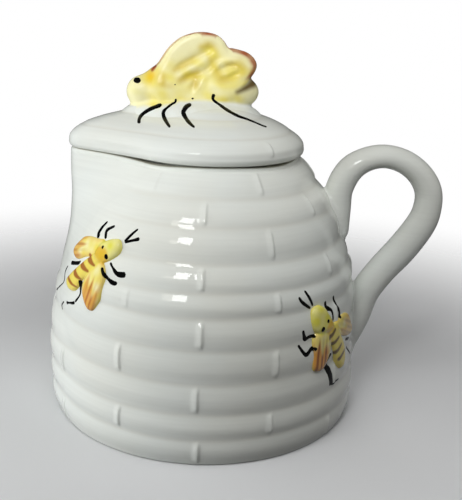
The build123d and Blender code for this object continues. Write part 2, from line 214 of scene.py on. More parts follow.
# --- brush strokes on the lid, as x, height and width where they cross the bee's middle plane --
SIGHT_POINT = (3.9, -265.2, 134.2)   # the strokes are laid on along lines from this point
LID_STROKES = [
    [(-17.0, 103.0, 0.8), (-17.4, 102.3, 1.0), (-19.9, 101.2, 1.1), (-22.1, 99.9, 1.0),
     (-23.5, 98.6, 0.9), (-24.1, 97.3, 0.9), (-24.1, 96.0, 0.8)],
    [(-12.0, 104.7, 0.6), (-12.3, 103.5, 0.5), (-13.3, 102.9, 0.6), (-14.9, 101.6, 0.6),
     (-15.9, 100.5, 0.9), (-16.1, 99.3, 1.1), (-15.5, 97.7, 1.1), (-13.8, 95.1, 0.6)],
    [(-6.6, 105.2, 0.7), (-6.5, 104.6, 0.6)],
    [(-6.9, 103.1, 1.0), (-8.4, 102.3, 1.3), (-9.3, 101.0, 1.3), (-9.5, 100.1, 1.3),
     (-8.7, 98.5, 1.2), (-7.4, 96.9, 1.1), (-5.6, 95.4, 0.4)],
    [(0.5, 106.7, 0.9), (0.1, 105.6, 0.9), (0.4, 104.6, 0.7), (2.3, 103.3, 0.7),
     (5.3, 101.4, 0.9), (8.6, 99.8, 0.7), (11.6, 98.9, 0.5), (14.1, 98.0, 0.35),
     (16.7, 97.0, 0.3), (18.3, 96.5, 0.2)],
]
LID_EYE = (-24.8, 110.1, 1.25, 1.0)   # x, height, half length, half height
LID_SPECK = (-12.4, 109.2, 0.22, 0.2)

# --- bees in relief ----------------------------------------------------------------------------
# Outlines and strokes are in mm from the bee's middle: forward (towards its head) and to its left.
# Flames are the brushed tips of its wings: root, tip, the share of the way at which they start,
# how far they lie beside the middle line, half their width, and how strongly they are painted.
BEE_BY_LIP = {
    "at": (-45.5, 57.5, 44.0, 48.0),   # azimuth, height, heading, radius of the wall there
    "parts": [            # kind, height, width of its rounded edge, outline
        ("wing", 0.9, 1.8, [
            (6.0, 4.2), (3.4, 6.6), (-0.2, 9.8), (-3.4, 11.9), (-5.7, 12.4), (-9.5, 12.4),
            (-10.8, 10.8), (-9.6, 8.1), (-7.4, 6.3), (-3.9, 4.9), (-0.4, 2.9), (2.5, 2.6)]),
        ("wing", 1.15, 2.2, [
            (2.4, -0.9), (-1.7, -0.6), (-4.8, -1.0), (-7.4, -2.2), (-8.9, -4.3), (-9.3, -7.1),
            (-9.0, -10.2), (-7.3, -11.7), (-5.4, -11.3), (-2.3, -10.2), (0.5, -8.0), (3.0, -5.2),
            (3.7, -2.7)]),
        ("abdomen", 1.3, 2.2, [
            (1.8, 2.7), (-1.2, 3.4), (-4.1, 3.8), (-8.0, 4.1), (-12.1, 4.4), (-15.7, 4.4),
            (-16.6, 2.8), (-15.8, 0.4), (-13.2, -1.6), (-10.4, -2.0), (-8.3, -1.2), (-5.6, -1.3),
            (-2.5, -1.6), (0.8, -1.6), (2.7, -0.9)]),
        ("head", 1.5, 2.6, [
            (5.2, 4.2), (7.4, 3.3), (9.6, 2.2), (11.6, 0.7), (12.2, -0.8), (11.3, -2.4),
            (9.6, -3.1), (7.4, -3.1), (5.7, -2.8), (3.5, -2.0), (1.9, -0.5), (0.7, 2.5),
            (2.9, 4.0)]),
    ],
    "patch": [(1.2, 2.6), (4.0, 3.2), (6.4, 0.8), (6.6, -1.2), (5.2, -2.7), (3.0, -2.2)],
    "stripes": [
        [(-1.3, 3.5, 1.0), (-0.7, 1.4, 1.2), (0.3, -0.9, 0.5)],
        [(-5.2, 4.2, 0.9), (-4.4, 1.7, 1.2), (-2.9, -0.8, 0.6)],
        [(-9.0, 4.0, 0.9), (-8.8, 1.8, 1.2), (-7.5, -0.6, 0.6)],
        [(-13.9, 4.4, 0.6), (-12.6, 1.2, 0.8), (-10.7, -1.6, 0.4)],
    ],
    "flames": [
        ((1.0, 4.5), (-10.6, 11.5), 0.5, 0.0, 5.0, 0.6),
        ((3.4, -3.4), (-8.8, -10.8), 0.47, -1.4, 3.3, 0.8),
    ],
    "brown": (166, 82, 46),
    "stripe_brown": (158, 84, 44),
    "legs": [
        [(8.7, 9.0, 0.5), (6.0, 9.0, 0.9), (3.6, 8.4, 1.4), (3.3, 6.9, 1.6)],
        [(11.5, 5.4, 0.5), (8.9, 6.3, 0.9), (7.3, 6.3, 1.2), (6.3, 4.4, 1.0)],
        [(19.1, -1.4, 0.5), (16.3, -1.3, 0.7), (13.1, -1.5, 0.8)],
        [(13.1, -1.5, 0.6), (16.0, -3.1, 0.6), (18.3, -4.3, 1.0)],
        [(5.9, -3.4, 0.5), (6.2, -5.4, 0.6), (6.7, -7.7, 1.1), (8.0, -9.1, 1.5), (9.3, -9.9, 1.3)],
        [(3.0, -3.2, 0.5), (2.6, -5.4, 0.7), (3.3, -7.8, 1.0), (4.3, -9.4, 1.2),
         (5.3, -10.0, 0.8)],
        [(-6.8, 5.4, 0.4), (-8.3, 5.4, 0.9), (-13.1, 8.3, 1.1)],
        [(-15.8, 8.7, 0.3), (-18.8, 8.0, 0.3), (-20.7, 5.4, 0.3), (-28.3, 6.3, 0.4)],
        [(-7.8, -0.9, 1.2), (-9.2, -2.2, 1.0), (-10.8, -4.2, 0.5), (-13.9, -5.1, 0.7)],
        [(-14.0, -5.2, 1.0), (-15.5, -4.6, 0.7), (-17.5, -3.5, 0.4), (-19.3, -2.6, 1.1)],
        [(-21.2, -1.3, 0.4), (-24.7, -0.8, 0.3), (-25.6, -2.1, 0.4)],
    ],
    "eyes": [(5.8, -1.6, 0.75), (5.7, 1.7, 0.55)],
}
BEE_BY_HANDLE = {
    "at": (49.0, 39.5, -30.0, 51.0),
    "parts": [
        ("wing", 0.9, 1.8, [
            (-1.1, -4.4), (-2.7, -8.8), (-6.0, -12.0), (-10.0, -13.1), (-14.6, -13.8),
            (-15.5, -11.2), (-12.0, -7.2), (-8.1, -4.3), (-4.1, -2.4), (-1.0, -2.4)]),
        ("abdomen", 1.3, 2.2, [
            (-0.4, 1.2), (-0.1, -2.4), (-3.2, -4.0), (-7.9, -4.4), (-12.7, -4.8), (-16.7, -3.8),
            (-19.5, -1.2), (-18.3, 1.5), (-15.2, 2.3), (-11.2, 2.0), (-6.6, 1.7), (-3.1, 1.8)]),
        ("wing", 1.2, 2.2, [
            (3.0, 5.4), (0.7, 8.1), (-2.9, 9.6), (-5.7, 11.3), (-7.9, 11.7), (-9.6, 10.3),
            (-10.3, 8.3), (-9.0, 5.1), (-6.7, 2.2), (-3.4, 1.0), (0.4, 1.4)]),
        ("head", 1.5, 2.6, [
            (9.7, 3.4), (10.1, 1.6), (9.1, -0.5), (6.8, -2.0), (3.9, -2.4), (1.0, -2.7),
            (-1.6, -2.0), (-1.4, 0.6), (0.9, 3.9), (3.0, 5.5), (5.3, 5.8), (7.8, 5.0)]),
    ],
    "patch": [(1.6, 1.8), (2.4, -1.6), (-1.2, -1.6), (-1.2, 1.2)],
    "stripes": [
        [(-2.0, -1.4, 0.7), (-2.6, 1.6, 1.1)],
        [(-6.0, -1.8, 0.6), (-5.8, 1.5, 1.1)],
        [(-9.6, -2.0, 0.6), (-9.9, 1.5, 1.1)],
        [(-13.6, -2.9, 0.6), (-13.5, 1.0, 1.1)],
    ],
    "flames": [
        ((-1.0, -3.2), (-15.0, -12.8), 0.35, 0.0, 5.0, 0.5),
        ((2.6, 3.0), (-10.0, 10.8), 0.38, 0.0, 3.4, 0.95),
    ],
    # these browns are darker copies of the lip bee's: painted shade for the pot's darker right side
    "brown": (118, 60, 34),
    "stripe_brown": (74, 42, 22),
    "legs": [
        [(16.8, 1.6, 0.5), (14.3, 1.6, 0.8), (10.7, 1.6, 0.5)],
        [(17.0, 4.8, 0.5), (14.7, 4.6, 0.9), (10.7, 2.7, 0.5)],
        [(7.6, 9.1, 0.6), (4.3, 9.6, 1.2), (3.7, 7.9, 1.0), (2.4, 6.1, 1.1)],
        [(4.4, 12.6, 0.5), (-0.2, 12.0, 1.2), (-0.3, 9.3, 1.2), (-1.5, 8.1, 1.1)],
        [(7.8, -3.9, 0.7), (5.7, -3.1, 1.2), (3.1, -4.4, 0.8), (-0.1, -3.1, 0.5)],
        [(5.9, -8.1, 0.7), (2.3, -7.7, 0.9), (-0.5, -7.6, 1.2), (-2.4, -6.3, 1.1)],
        [(-13.2, -6.8, 0.9), (-16.6, -9.8, 0.9)],
        [(-18.5, -7.7, 0.5), (-24.5, -9.5, 0.5)],
        [(-9.2, 2.6, 0.9), (-10.5, 6.3, 1.5), (-14.5, 6.4, 2.2), (-19.8, 7.5, 1.5)],
        [(-19.7, 7.3, 0.6), (-22.3, 2.7, 0.4)],
    ],
    "eyes": [(2.8, 3.2, 0.85), (3.3, 0.1, 0.6)],
}
RELIEF_CELL = 0.25
RELIEF_SPAN = ((-22.0, 15.0), (-16.0, 14.5))   # forward and left, searched round the middle
RELIEF_SINK = 1.5         # past its outlines a bee's face drops this far into the wall
RELIEF_BACK = 2.4         # and its back lies this far in
RELIEF_MARGIN = 0.4       # cells further than this outside the outlines are left out
RELIEF_FALL = 3.0         # how steeply it drops
PART_FILLET = 0.4         # between a bee's parts
STRIPE_FULLNESS = 1.45


def srgb(red, green, blue):
    """Linear colour of a paint named by its 0 to 255 values."""
    shares = np.array([red, green, blue]) / 255.0
    return np.where(shares <= 0.04045, shares / 12.92, ((shares + 0.055) / 1.055) ** 2.4)


CREAM = srgb(230, 234, 229)
# darker tint for painted shade in the grooves and under the lid, and for the rim's bare top
GROOVE_SHADE_TINT = srgb(196, 190, 172)
BARE_CLAY = srgb(214, 203, 184)
YELLOW = srgb(242, 228, 112)
PALE_YELLOW = srgb(248, 243, 194)
STRONG_YELLOW = srgb(234, 212, 66)
OCHRE = srgb(216, 190, 62)
LIME = srgb(228, 222, 92)
ORANGE = srgb(238, 184, 42)
RED_BROWN = srgb(166, 82, 46)
# colour of the painted shade under the lid bee's hind wing
RECESS_SHADE_OLIVE = srgb(96, 72, 28)
BRUSHED = srgb(222, 152, 66)
AMBER = srgb(228, 180, 44)


# --- numbers -----------------------------------------------------------------------------------
def smooth(low, high, value):
    """0 below low, 1 above high, and an even rise between them."""
    share = np.clip((value - low) / (high - low), 0.0, 1.0)
    return share * share * (3.0 - 2.0 * share)


def curve_through(knots, values, at):
    """Monotone cubic curve through the values at the knots."""
    knots = np.asarray(knots, float)
    values = np.asarray(values, float)
    gaps = np.diff(knots)
    slopes = np.diff(values) / gaps
    same_way = slopes[:-1] * slopes[1:] > 0
    mean = np.zeros(len(knots) - 2)
    mean[same_way] = 2.0 * slopes[:-1][same_way] * slopes[1:][same_way] / (
        slopes[:-1][same_way] + slopes[1:][same_way]
    )
    tangents = np.concatenate([[slopes[0]], mean, [slopes[-1]]])
    at = np.clip(at, knots[0], knots[-1])
    i = np.clip(np.searchsorted(knots, at, side="right") - 1, 0, len(gaps) - 1)
    t = (at - knots[i]) / gaps[i]
    start = (1 + 2 * t) * (1 - t) ** 2 * values[i] + t * (1 - t) ** 2 * gaps[i] * tangents[i]
    end = t * t * (3 - 2 * t) * values[i + 1] + t * t * (t - 1) * gaps[i] * tangents[i + 1]
    return start + end


def flowing(points, pieces, closed=False):
    """Points along a smooth line through the given ones."""
    points = np.asarray(points, float)
    count = len(points)
    spans = count if closed else count - 1
    if not closed and count == 2:
        share = np.linspace(0.0, 1.0, pieces + 1)[:, None]
        return points[0] + (points[1] - points[0]) * share
    made = []
    for i in range(spans):
        if closed:
            a, b, c, d = (points[(i + k) % count] for k in (-1, 0, 1, 2))
        else:
            a, b, c, d = (points[min(max(i + k, 0), count - 1)] for k in (-1, 0, 1, 2))
        t = (np.arange(pieces) / pieces)[:, None]
        made.append(0.5 * (2 * b + (c - a) * t + (2 * a - 5 * b + 4 * c - d) * t ** 2
                           + (3 * b - a - 3 * c + d) * t ** 3))
    if not closed:
        made.append(points[-1:])
    return np.concatenate(made)


def glow(u, v, middle_u, middle_v, wide, high):
    """Soft round patch, 1 in its middle."""
    return np.exp(-(((u - middle_u) / wide) ** 2 + ((v - middle_v) / high) ** 2))


def union(a, b, blend):
    """Joins two distance fields with a fillet."""
    near = np.maximum(blend - np.abs(a - b), 0.0) / blend
    return np.minimum(a, b) - near * near * blend / 4.0


def overlap(a, b, blend):
    """The common part of two distance fields, with a rounded edge."""
    return -union(-a, -b, blend)


def seated(body, above, fade, reach, fillet, depth):
    """Joins a body to the surface under it with a fillet, and ends it at a depth within it.
    The fillet fades out where the body is further away than its reach."""
    sunk = above + SEAT_LIFT + fade * np.maximum(body - reach, 0.0)
    return np.maximum(union(body, sunk, fillet), -(above + depth))


def segment_distance(points, u, v):
    """Distance to a line of points in a plane, and how far along the nearest place is."""
    best = np.full(np.broadcast(u, v).shape, 1e9)
    along = np.zeros_like(best)
    for i, (a, b) in enumerate(zip(points[:-1], points[1:])):
        du, dv = b[0] - a[0], b[1] - a[1]
        t = np.clip(((u - a[0]) * du + (v - a[1]) * dv) / (du * du + dv * dv + 1e-12), 0.0, 1.0)
        gap = np.hypot(u - a[0] - t * du, v - a[1] - t * dv)
        along = np.where(gap < best, i + t, along)
        best = np.minimum(best, gap)
    return best, along


def outline_distance(outline, u, v):
    """Signed distance from a closed outline, negative inside."""
    ring = flowing(outline, pieces=5, closed=True)
    ring = np.concatenate([ring, ring[:1]])
    gap, _ = segment_distance(ring, u, v)
    inside = np.zeros(gap.shape, bool)
    for a, b in zip(ring[:-1], ring[1:]):
        crosses = (a[1] > v) != (b[1] > v)
        at = (b[0] - a[0]) * (v - a[1]) / (b[1] - a[1] + 1e-12) + a[0]
        inside ^= crosses & (u < at)
    return np.where(inside, -gap, gap)


def cover(stroke, u, v, soft):
    """How much a brush stroke of (u, v, width) covers each place, 0 to 1."""
    line = flowing(stroke, pieces=6)
    gap, along = segment_distance(line[:, :2], u, v)
    width = np.interp(along, np.arange(len(line)), line[:, 2])
    return smooth(width / 2 + soft, width / 2 - soft, gap)


def noise(u, v, seed):
    """Slow, even ripple between about -1 and 1."""
    dice = np.random.default_rng(seed)
    total = 0.0
    for _ in range(6):
        a, b = dice.uniform(-1.0, 1.0, 2)
        total = total + np.sin(a * u + b * v + dice.uniform(0.0, 2 * pi))
    return total / 3.0


# --- the pot's wall ----------------------------------------------------------------------------
def turned(azimuth, at):
    """Angle from one azimuth to another, between -180 and 180 degrees."""
    return (azimuth - at + 180.0) % 360.0 - 180.0


def off_nose(azimuth):
    return np.abs(turned(azimuth, -90.0))


def teardrop(radius, reach, nose, azimuth):
    """Distance from the axis to a circle round it and a nose circle, joined by tangents,
    and the share of the way along the tangent."""
    off = np.radians(off_nose(azimuth))
    nose_x = radius + reach - nose
    lean = np.arccos(np.clip((radius - nose) / nose_x, -1.0, 1.0))
    tip_side = np.arctan2(nose * np.sin(lean), nose_x + nose * np.cos(lean))
    flank = radius / np.cos(np.clip(lean - off, 0.0, 1.4))
    inside = np.maximum(nose ** 2 - (nose_x * np.sin(off)) ** 2, 0.0)
    tip = nose_x * np.cos(off) + np.sqrt(inside)
    share = np.clip((off - tip_side) / np.maximum(lean - tip_side, 1e-6), 0.0, 1.0)
    return np.where(off >= lean, radius, np.where(off >= tip_side, flank, tip)), share


def wall_values(z):
    return [curve_through(GROOVE_Z, GROOVES[:, i], z) for i in range(3)]


def coil_share(azimuth, z):
    """Row number and place within the row, with the rows a little out of true by hand."""
    sway = ROW_SWAY * np.sin(np.radians(2 * azimuth + 40))
    sway = sway + ROW_RIPPLE * np.sin(np.radians(5 * azimuth) + z)
    level = z + sway * smooth(0, LEVEL_ENDS, z) * smooth(RIM, RIM - LEVEL_ENDS, z)
    level = np.clip(level, 0.0, RIM - 1e-6)
    row = np.clip(np.searchsorted(GROOVE_Z, level, side="right") - 1, 0, len(ROW_HEIGHTS) - 1)
    share = (level - GROOVE_Z[row]) / np.asarray(ROW_HEIGHTS)[row]
    return row, share


def coil_fade(azimuth, z):
    """1 where the coils are full and 0 on the smooth panel by the lip."""
    away = smooth(*PANEL_ANGLES, off_nose(azimuth))
    return 1.0 - (1.0 - away) * smooth(*PANEL_HEIGHTS, z)


def wall(azimuth, z, coils=1.0):
    """Distance of the pot's outer surface from the axis, without its bars."""
    radius, reach, nose = wall_values(z)
    base, share = teardrop(radius, reach, nose, azimuth)
    hollow = FLANK_HOLLOW * np.sin(pi * share) * smooth(HOLLOW_FROM, RIM, z)
    _, place = coil_share(azimuth, z)
    full = np.hypot(1.0, VALLEY_ROUNDING)
    swell = np.hypot(np.sin(pi * place), VALLEY_ROUNDING)
    bulge = COIL_BULGE - COIL_DEPTH * (full - swell) / (full - VALLEY_ROUNDING)
    return base - hollow + (coils * bulge + (1.0 - coils) * COIL_MEAN) * coil_fade(azimuth, z)


def bar_ridge(azimuth, at, radius):
    """Cross-section of a bar at an azimuth: a gentle shoulder, a crest and a steep fall."""
    across = turned(azimuth, at) * radius * pi / 180.0
    return smooth(-BAR_SHOULDER, BAR_CREST, across) ** 2 * smooth(BAR_FALL, BAR_CREST, across)


def bars(azimuth, z, radius):
    """How far the bars stand out of the wall."""
    proud = np.zeros(len(azimuth))
    for row, at in [(row, at) for row, line in enumerate(BARS) for at in line]:
        if not GROOVE_Z[row] <= z <= GROOVE_Z[row + 1]:
            continue
        most = BAR_PROUD * (FAINTNESS if (row, at) in FAINT_BARS else 1.0)
        place = (z - GROOVE_Z[row]) / ROW_HEIGHTS[row]
        ends = smooth(*BAR_ENDS, min(place, 1.0 - place))
        proud = np.maximum(proud, most * ends * bar_ridge(azimuth, at, radius))
    return proud


def wall_point(azimuth, z, out):
    """Points at a distance out of the smoothed wall, and the wall's outward direction."""
    here = wall(azimuth, z, coils=0.0)
    rise = 0.5
    slope = (wall(azimuth, z + rise, coils=0.0) - wall(azimuth, z - rise, coils=0.0)) / (2 * rise)
    bearing = np.radians(azimuth)
    tilt = np.hypot(1.0, slope)
    normal = np.stack([np.sin(bearing) / tilt, -np.cos(bearing) / tilt, -slope / tilt], -1)
    foot = np.stack([here * np.sin(bearing), -here * np.cos(bearing), z + 0 * here], -1)
    return foot + normal * np.asarray(out)[..., None], normal


# --- meshes ------------------------------------------------------------------------------------
def grid_faces(rows, columns, wrap):
    """Quads of a grid of points, listed row by row."""
    i = np.arange(rows - 1)[:, None] * columns
    j = np.arange(columns if wrap else columns - 1)[None, :]
    k = (j + 1) % columns
    return np.stack([i + j, i + k, i + columns + k, i + columns + j], -1).reshape(-1, 4)


def placed(name, data):
    made = bpy.data.objects.new(name, data)
    bpy.context.scene.collection.objects.link(made)
    return made


def piece(name, points, faces, materials, body, stands_for=()):
    """A mesh object in metres from points in mm, riding on a body of the frame."""
    mesh = bpy.data.meshes.new(name)
    mesh.from_pydata((np.asarray(points) * MM).tolist(), [], [list(f) for f in faces])
    mesh.polygons.foreach_set("use_smooth", [True] * len(mesh.polygons))
    for material in materials:
        mesh.materials.append(material)
    mesh.validate()
    made = placed(name, mesh)
    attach(made, body)
    if stands_for:
        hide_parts(*stands_for)
    return made


def give_value(made, name, values):
    made.data.attributes.new(name, "FLOAT", "POINT").data.foreach_set("value", values)


def give_colour(made, name, colours):
    filled = np.concatenate([colours, np.ones((len(colours), 1))], 1).astype(np.float32)
    made.data.attributes.new(name, "FLOAT_COLOR", "POINT").data.foreach_set("color", filled.ravel())


def spaced_out(places, before, after, step):
    """Even azimuths with finer ones round some places, none of them too close together."""
    made = set(np.round(np.arange(0.0, 360.0, EVEN_STEP), 3))
    for at in places:
        for shift in np.arange(-before, after + 0.01, step):
            made.add(round((at + shift) % 360.0, 3))
    kept = []
    for azimuth in sorted(made):
        if not kept or azimuth - kept[-1] > 0.7 * step:
            kept.append(azimuth)
    return np.array(kept)


def ring_surface(azimuths, rings, start_z, end_z):
    """Closed surface of rings (radius, height, shade), with a point on the axis at each end.
    A ring without shade leaves it out."""
    bearing = np.radians(azimuths)
    count = len(azimuths)
    even = np.zeros(count)
    points, shades = [[(0.0, 0.0, start_z)]], [[0.0]]
    for radius, z, *shade in rings:
        x, y = radius * np.sin(bearing), -radius * np.cos(bearing)
        points.append(np.stack([x, y, z + even], -1))
        shades.append(sum(shade) + even)
    points = np.concatenate([*points, [(0.0, 0.0, end_z)]])
    faces = (grid_faces(len(rings), count, True) + 1).tolist()
    last = len(points) - 1
    for j in range(count):
        k = (j + 1) % count
        faces.append((0, 1 + k, 1 + j))
        faces.append((last - count + j, last - count + k, last))
    return points, faces, np.concatenate([*shades, [0.0]])


def skin(field, low, high, step):
    """Closed surface where a field is zero: one point in every cell that the surface crosses."""
    axes = [np.arange(a, b + step, step) for a, b in zip(low, high)]
    grid = np.meshgrid(*axes, indexing="ij", sparse=True)
    value = field(*grid)
    inside = value < 0
    corners = [(i, j, k) for i in (0, 1) for j in (0, 1) for k in (0, 1)]
    sizes = [n - 1 for n in value.shape]
    count = np.zeros(sizes, np.int8)
    for i, j, k in corners:
        count += inside[i:i + sizes[0], j:j + sizes[1], k:k + sizes[2]]
    cells = np.argwhere((count > 0) & (count < 8))
    number = np.full(sizes, -1)
    number[tuple(cells.T)] = np.arange(len(cells))
    total = np.zeros((len(cells), 3))
    hits = np.zeros(len(cells))
    for a in range(8):
        for b in range(a + 1, 8):
            ca, cb = np.array(corners[a]), np.array(corners[b])
            if np.abs(ca - cb).sum() != 1:
                continue
            fa = value[tuple((cells + ca).T)]
            fb = value[tuple((cells + cb).T)]
            crosses = (fa < 0) != (fb < 0)
            share = np.where(crosses, fa / np.where(crosses, fa - fb, 1.0), 0.0)
            total += (ca + share[:, None] * (cb - ca)) * crosses[:, None]
            hits += crosses
    points = np.array([a[0] for a in axes]) + (cells + total / hits[:, None]) * step
    faces = []
    for axis in range(3):
        one, two = (axis + 1) % 3, (axis + 2) % 3
        ahead = np.moveaxis(inside, axis, 0)
        change = np.moveaxis(ahead[:-1] != ahead[1:], 0, axis)
        places = np.argwhere(change)
        keep = (places[:, one] > 0) & (places[:, two] > 0)
        keep &= (places[:, one] < sizes[one]) & (places[:, two] < sizes[two])
        places = places[keep]
        around = []
        for da, db in ((-1, -1), (0, -1), (0, 0), (-1, 0)):
            cell = places.copy()
            cell[:, one] += da
            cell[:, two] += db
            around.append(number[tuple(cell.T)])
        quads = np.stack(around, -1)
        outward = inside[tuple(places.T)]
        quads[~outward] = quads[~outward][:, ::-1]
        faces.append(quads)
    points, _ = settle(field, points, step)
    return points, np.concatenate(faces)


def gradient(field, points):
    """Direction and steepness in which a field grows."""
    h = 0.02
    made = []
    for axis in range(3):
        shift = np.zeros(3)
        shift[axis] = h
        made.append((field(*(points + shift).T) - field(*(points - shift).T)) / (2 * h))
    return np.stack(made, -1)


def settle(field, points, step):
    """Moves points onto the place where a field is zero."""
    for _ in range(3):
        slope = gradient(field, points)
        steep = np.maximum((slope ** 2).sum(1), 1e-6)
        move = -(field(*points.T) / steep)[:, None] * slope
        length = np.linalg.norm(move, axis=1, keepdims=True)
        points = points + move * np.minimum(1.0, 0.5 * step / np.maximum(length, 1e-9))
    slope = gradient(field, points)
    return points, slope / np.maximum(np.linalg.norm(slope, axis=1, keepdims=True), 1e-9)


# --- materials ---------------------------------------------------------------------------------
class Nodes:
    """Short calls to build the node tree of a material or of the world."""

    def __init__(self, owner):
        owner.use_nodes = True
        self.owner = owner
        self.tree = owner.node_tree

    def fill(self, node, inputs):
        """Gives a node's inputs their values, or links them to other nodes' outputs."""
        for key, value in inputs.items():
            if isinstance(value, bpy.types.NodeSocket):
                self.tree.links.new(value, node.inputs[key])
            else:
                node.inputs[key].default_value = value

    def add(self, kind, inputs, **settings):
        node = self.tree.nodes.new("ShaderNode" + kind)
        for key, value in settings.items():
            setattr(node, key, value)
        self.fill(node, inputs)
        return node

    def noise(self, scale, stretch=(1, 1, 1), detail=2.0, rough=0.5):
        """Noise in the object's own coordinates, per metre."""
        where = self.add("TexCoord", {}).outputs["Object"]
        sized = self.add("Mapping", {"Vector": where, "Scale": [scale * s for s in stretch]})
        settings = {"Scale": 1.0, "Detail": detail, "Roughness": rough}
        texture = self.add("TexNoise", {"Vector": sized.outputs["Vector"], **settings})
        return texture.outputs["Fac"]

    def ramp(self, factor, *stops):
        node = self.add("ValToRGB", {"Fac": factor})
        while len(node.color_ramp.elements) < len(stops):
            node.color_ramp.elements.new(0.5)
        for element, (place, colour) in zip(node.color_ramp.elements, stops):
            element.position = place
            element.color = (*colour, 1.0)
        return node.outputs["Color"]

    def mix(self, factor, first, second, way="MIX"):
        """The first and second may be outputs or colours."""
        first, second = (c if isinstance(c, bpy.types.NodeSocket) else (*c, 1.0)
                         for c in (first, second))
        inputs = {0: factor, 6: first, 7: second}
        return self.add("Mix", inputs, data_type="RGBA", blend_type=way).outputs[2]

    def bump(self, height, depth):
        node = self.add("Bump", {"Distance": depth, "Strength": 1.0, "Height": height})
        return node.outputs["Normal"]

    def attribute(self, name):
        return self.add("Attribute", {}, attribute_name=name).outputs

    def finish(self, colour, roughness=(0.012, 0.035), normal=None, shine=0.5, **more):
        """Glossy glaze with this colour, and a roughness that wanders between two values."""
        low, high = roughness
        spread = self.add("MapRange", {"To Min": low, "To Max": high, "Value": self.noise(240.0)})
        inputs = {"Base Color": colour, "Roughness": spread.outputs["Result"],
                  "Specular IOR Level": shine, **more}
        if normal is not None:
            inputs["Normal"] = normal
        self.fill(self.tree.nodes["Principled BSDF"], inputs)
        return self.owner


def times(colour, factor):
    return tuple(float(c * factor) for c in colour)


def cream_glaze():
    """Cream glaze: fine level streaks, a faint blush, and a darker tint where the groove attribute
    says: painted shade in the grooves and the gap under the lid, and the bare top of the rim.
    """
    n = Nodes(bpy.data.materials.new("cream_glaze"))
    streaks = n.noise(60.0, (0.5, 0.5, 16.0), detail=3.0, rough=0.6)
    tone = n.ramp(streaks, (0.3, times(CREAM, 0.97)), (0.7, times(CREAM, 1.015)))
    blush = n.ramp(n.noise(28.0, detail=3.0), (0.35, (1.0, 1.0, 1.0)), (0.75, (1.0, 0.975, 0.94)))
    tone = n.mix(1.0, tone, blush, "MULTIPLY")
    # painted shade in the grooves and the gap under the lid, and the bare rim's tint
    tone = n.mix(n.attribute("groove")["Fac"], tone, tuple(map(float, GROOVE_SHADE_TINT)))
    ripple = n.bump(n.noise(190.0, (1.0, 1.0, 1.6), detail=1.5), 0.00006)
    return n.finish(tone, normal=ripple)


def painted_glaze(name, roughness, shine):
    """Clear glaze over paint, whose colour is carried by the mesh."""
    n = Nodes(bpy.data.materials.new(name))
    mottle = n.ramp(n.noise(420.0, detail=3.0), (0.3, (0.97, 0.96, 0.93)), (0.7, (1.0, 1.0, 1.0)))
    tone = n.mix(1.0, n.attribute("paint")["Color"], mottle, "MULTIPLY")
    ripple = n.bump(n.noise(260.0, detail=1.5), 0.00005)
    return n.finish(tone, roughness, ripple, shine)


def black_glaze():
    n = Nodes(bpy.data.materials.new("black_glaze"))
    tone = n.ramp(n.noise(500.0, detail=2.0), (0.35, (0.002,) * 3), (0.75, (0.005,) * 3))
    return n.finish(tone, roughness=(0.2, 0.35), shine=0.06)


def bare_clay():
    n = Nodes(bpy.data.materials.new("bare_clay"))
    grit = n.noise(900.0, detail=5.0)
    tone = n.ramp(grit, (0.3, times(BARE_CLAY, 0.9)), (0.7, times(BARE_CLAY, 1.0)))
    grain = n.bump(n.noise(2200.0, detail=3.0), 0.00008)
    return n.finish(tone, roughness=(0.7, 0.9), normal=grain)


CREAM_GLAZE = cream_glaze()
LID_BEE_GLAZE = painted_glaze("lid_bee_glaze", (0.16, 0.26), 0.35)
RELIEF_GLAZE = painted_glaze("relief_bee_glaze", (0.03, 0.08), 0.4)
BLACK_GLAZE = black_glaze()
CLAY = bare_clay()


# --- pot ---------------------------------------------------------------------------------------
def inner_radius(azimuth, z, inset=WALL):
    radius, reach, nose = wall_values(z)
    return teardrop(radius - inset, reach, nose - inset, azimuth)[0]


def rounded(steps=6):
    """(inset, depth) shares of a rounded edge, from the flat face to the upright side."""
    return [(1.0 - sin(angle), 1.0 - cos(angle)) for angle in np.linspace(0.0, pi / 2, steps)]


def lowered(azimuth, z):
    """Height of a place on the pot's wall after the rim's dip."""
    dip = curve_through(*zip(*RIM_DIP), turned(azimuth, 0.0))
    return z - dip * smooth(RIM - DIP_DEPTH, RIM - EDGE, z)


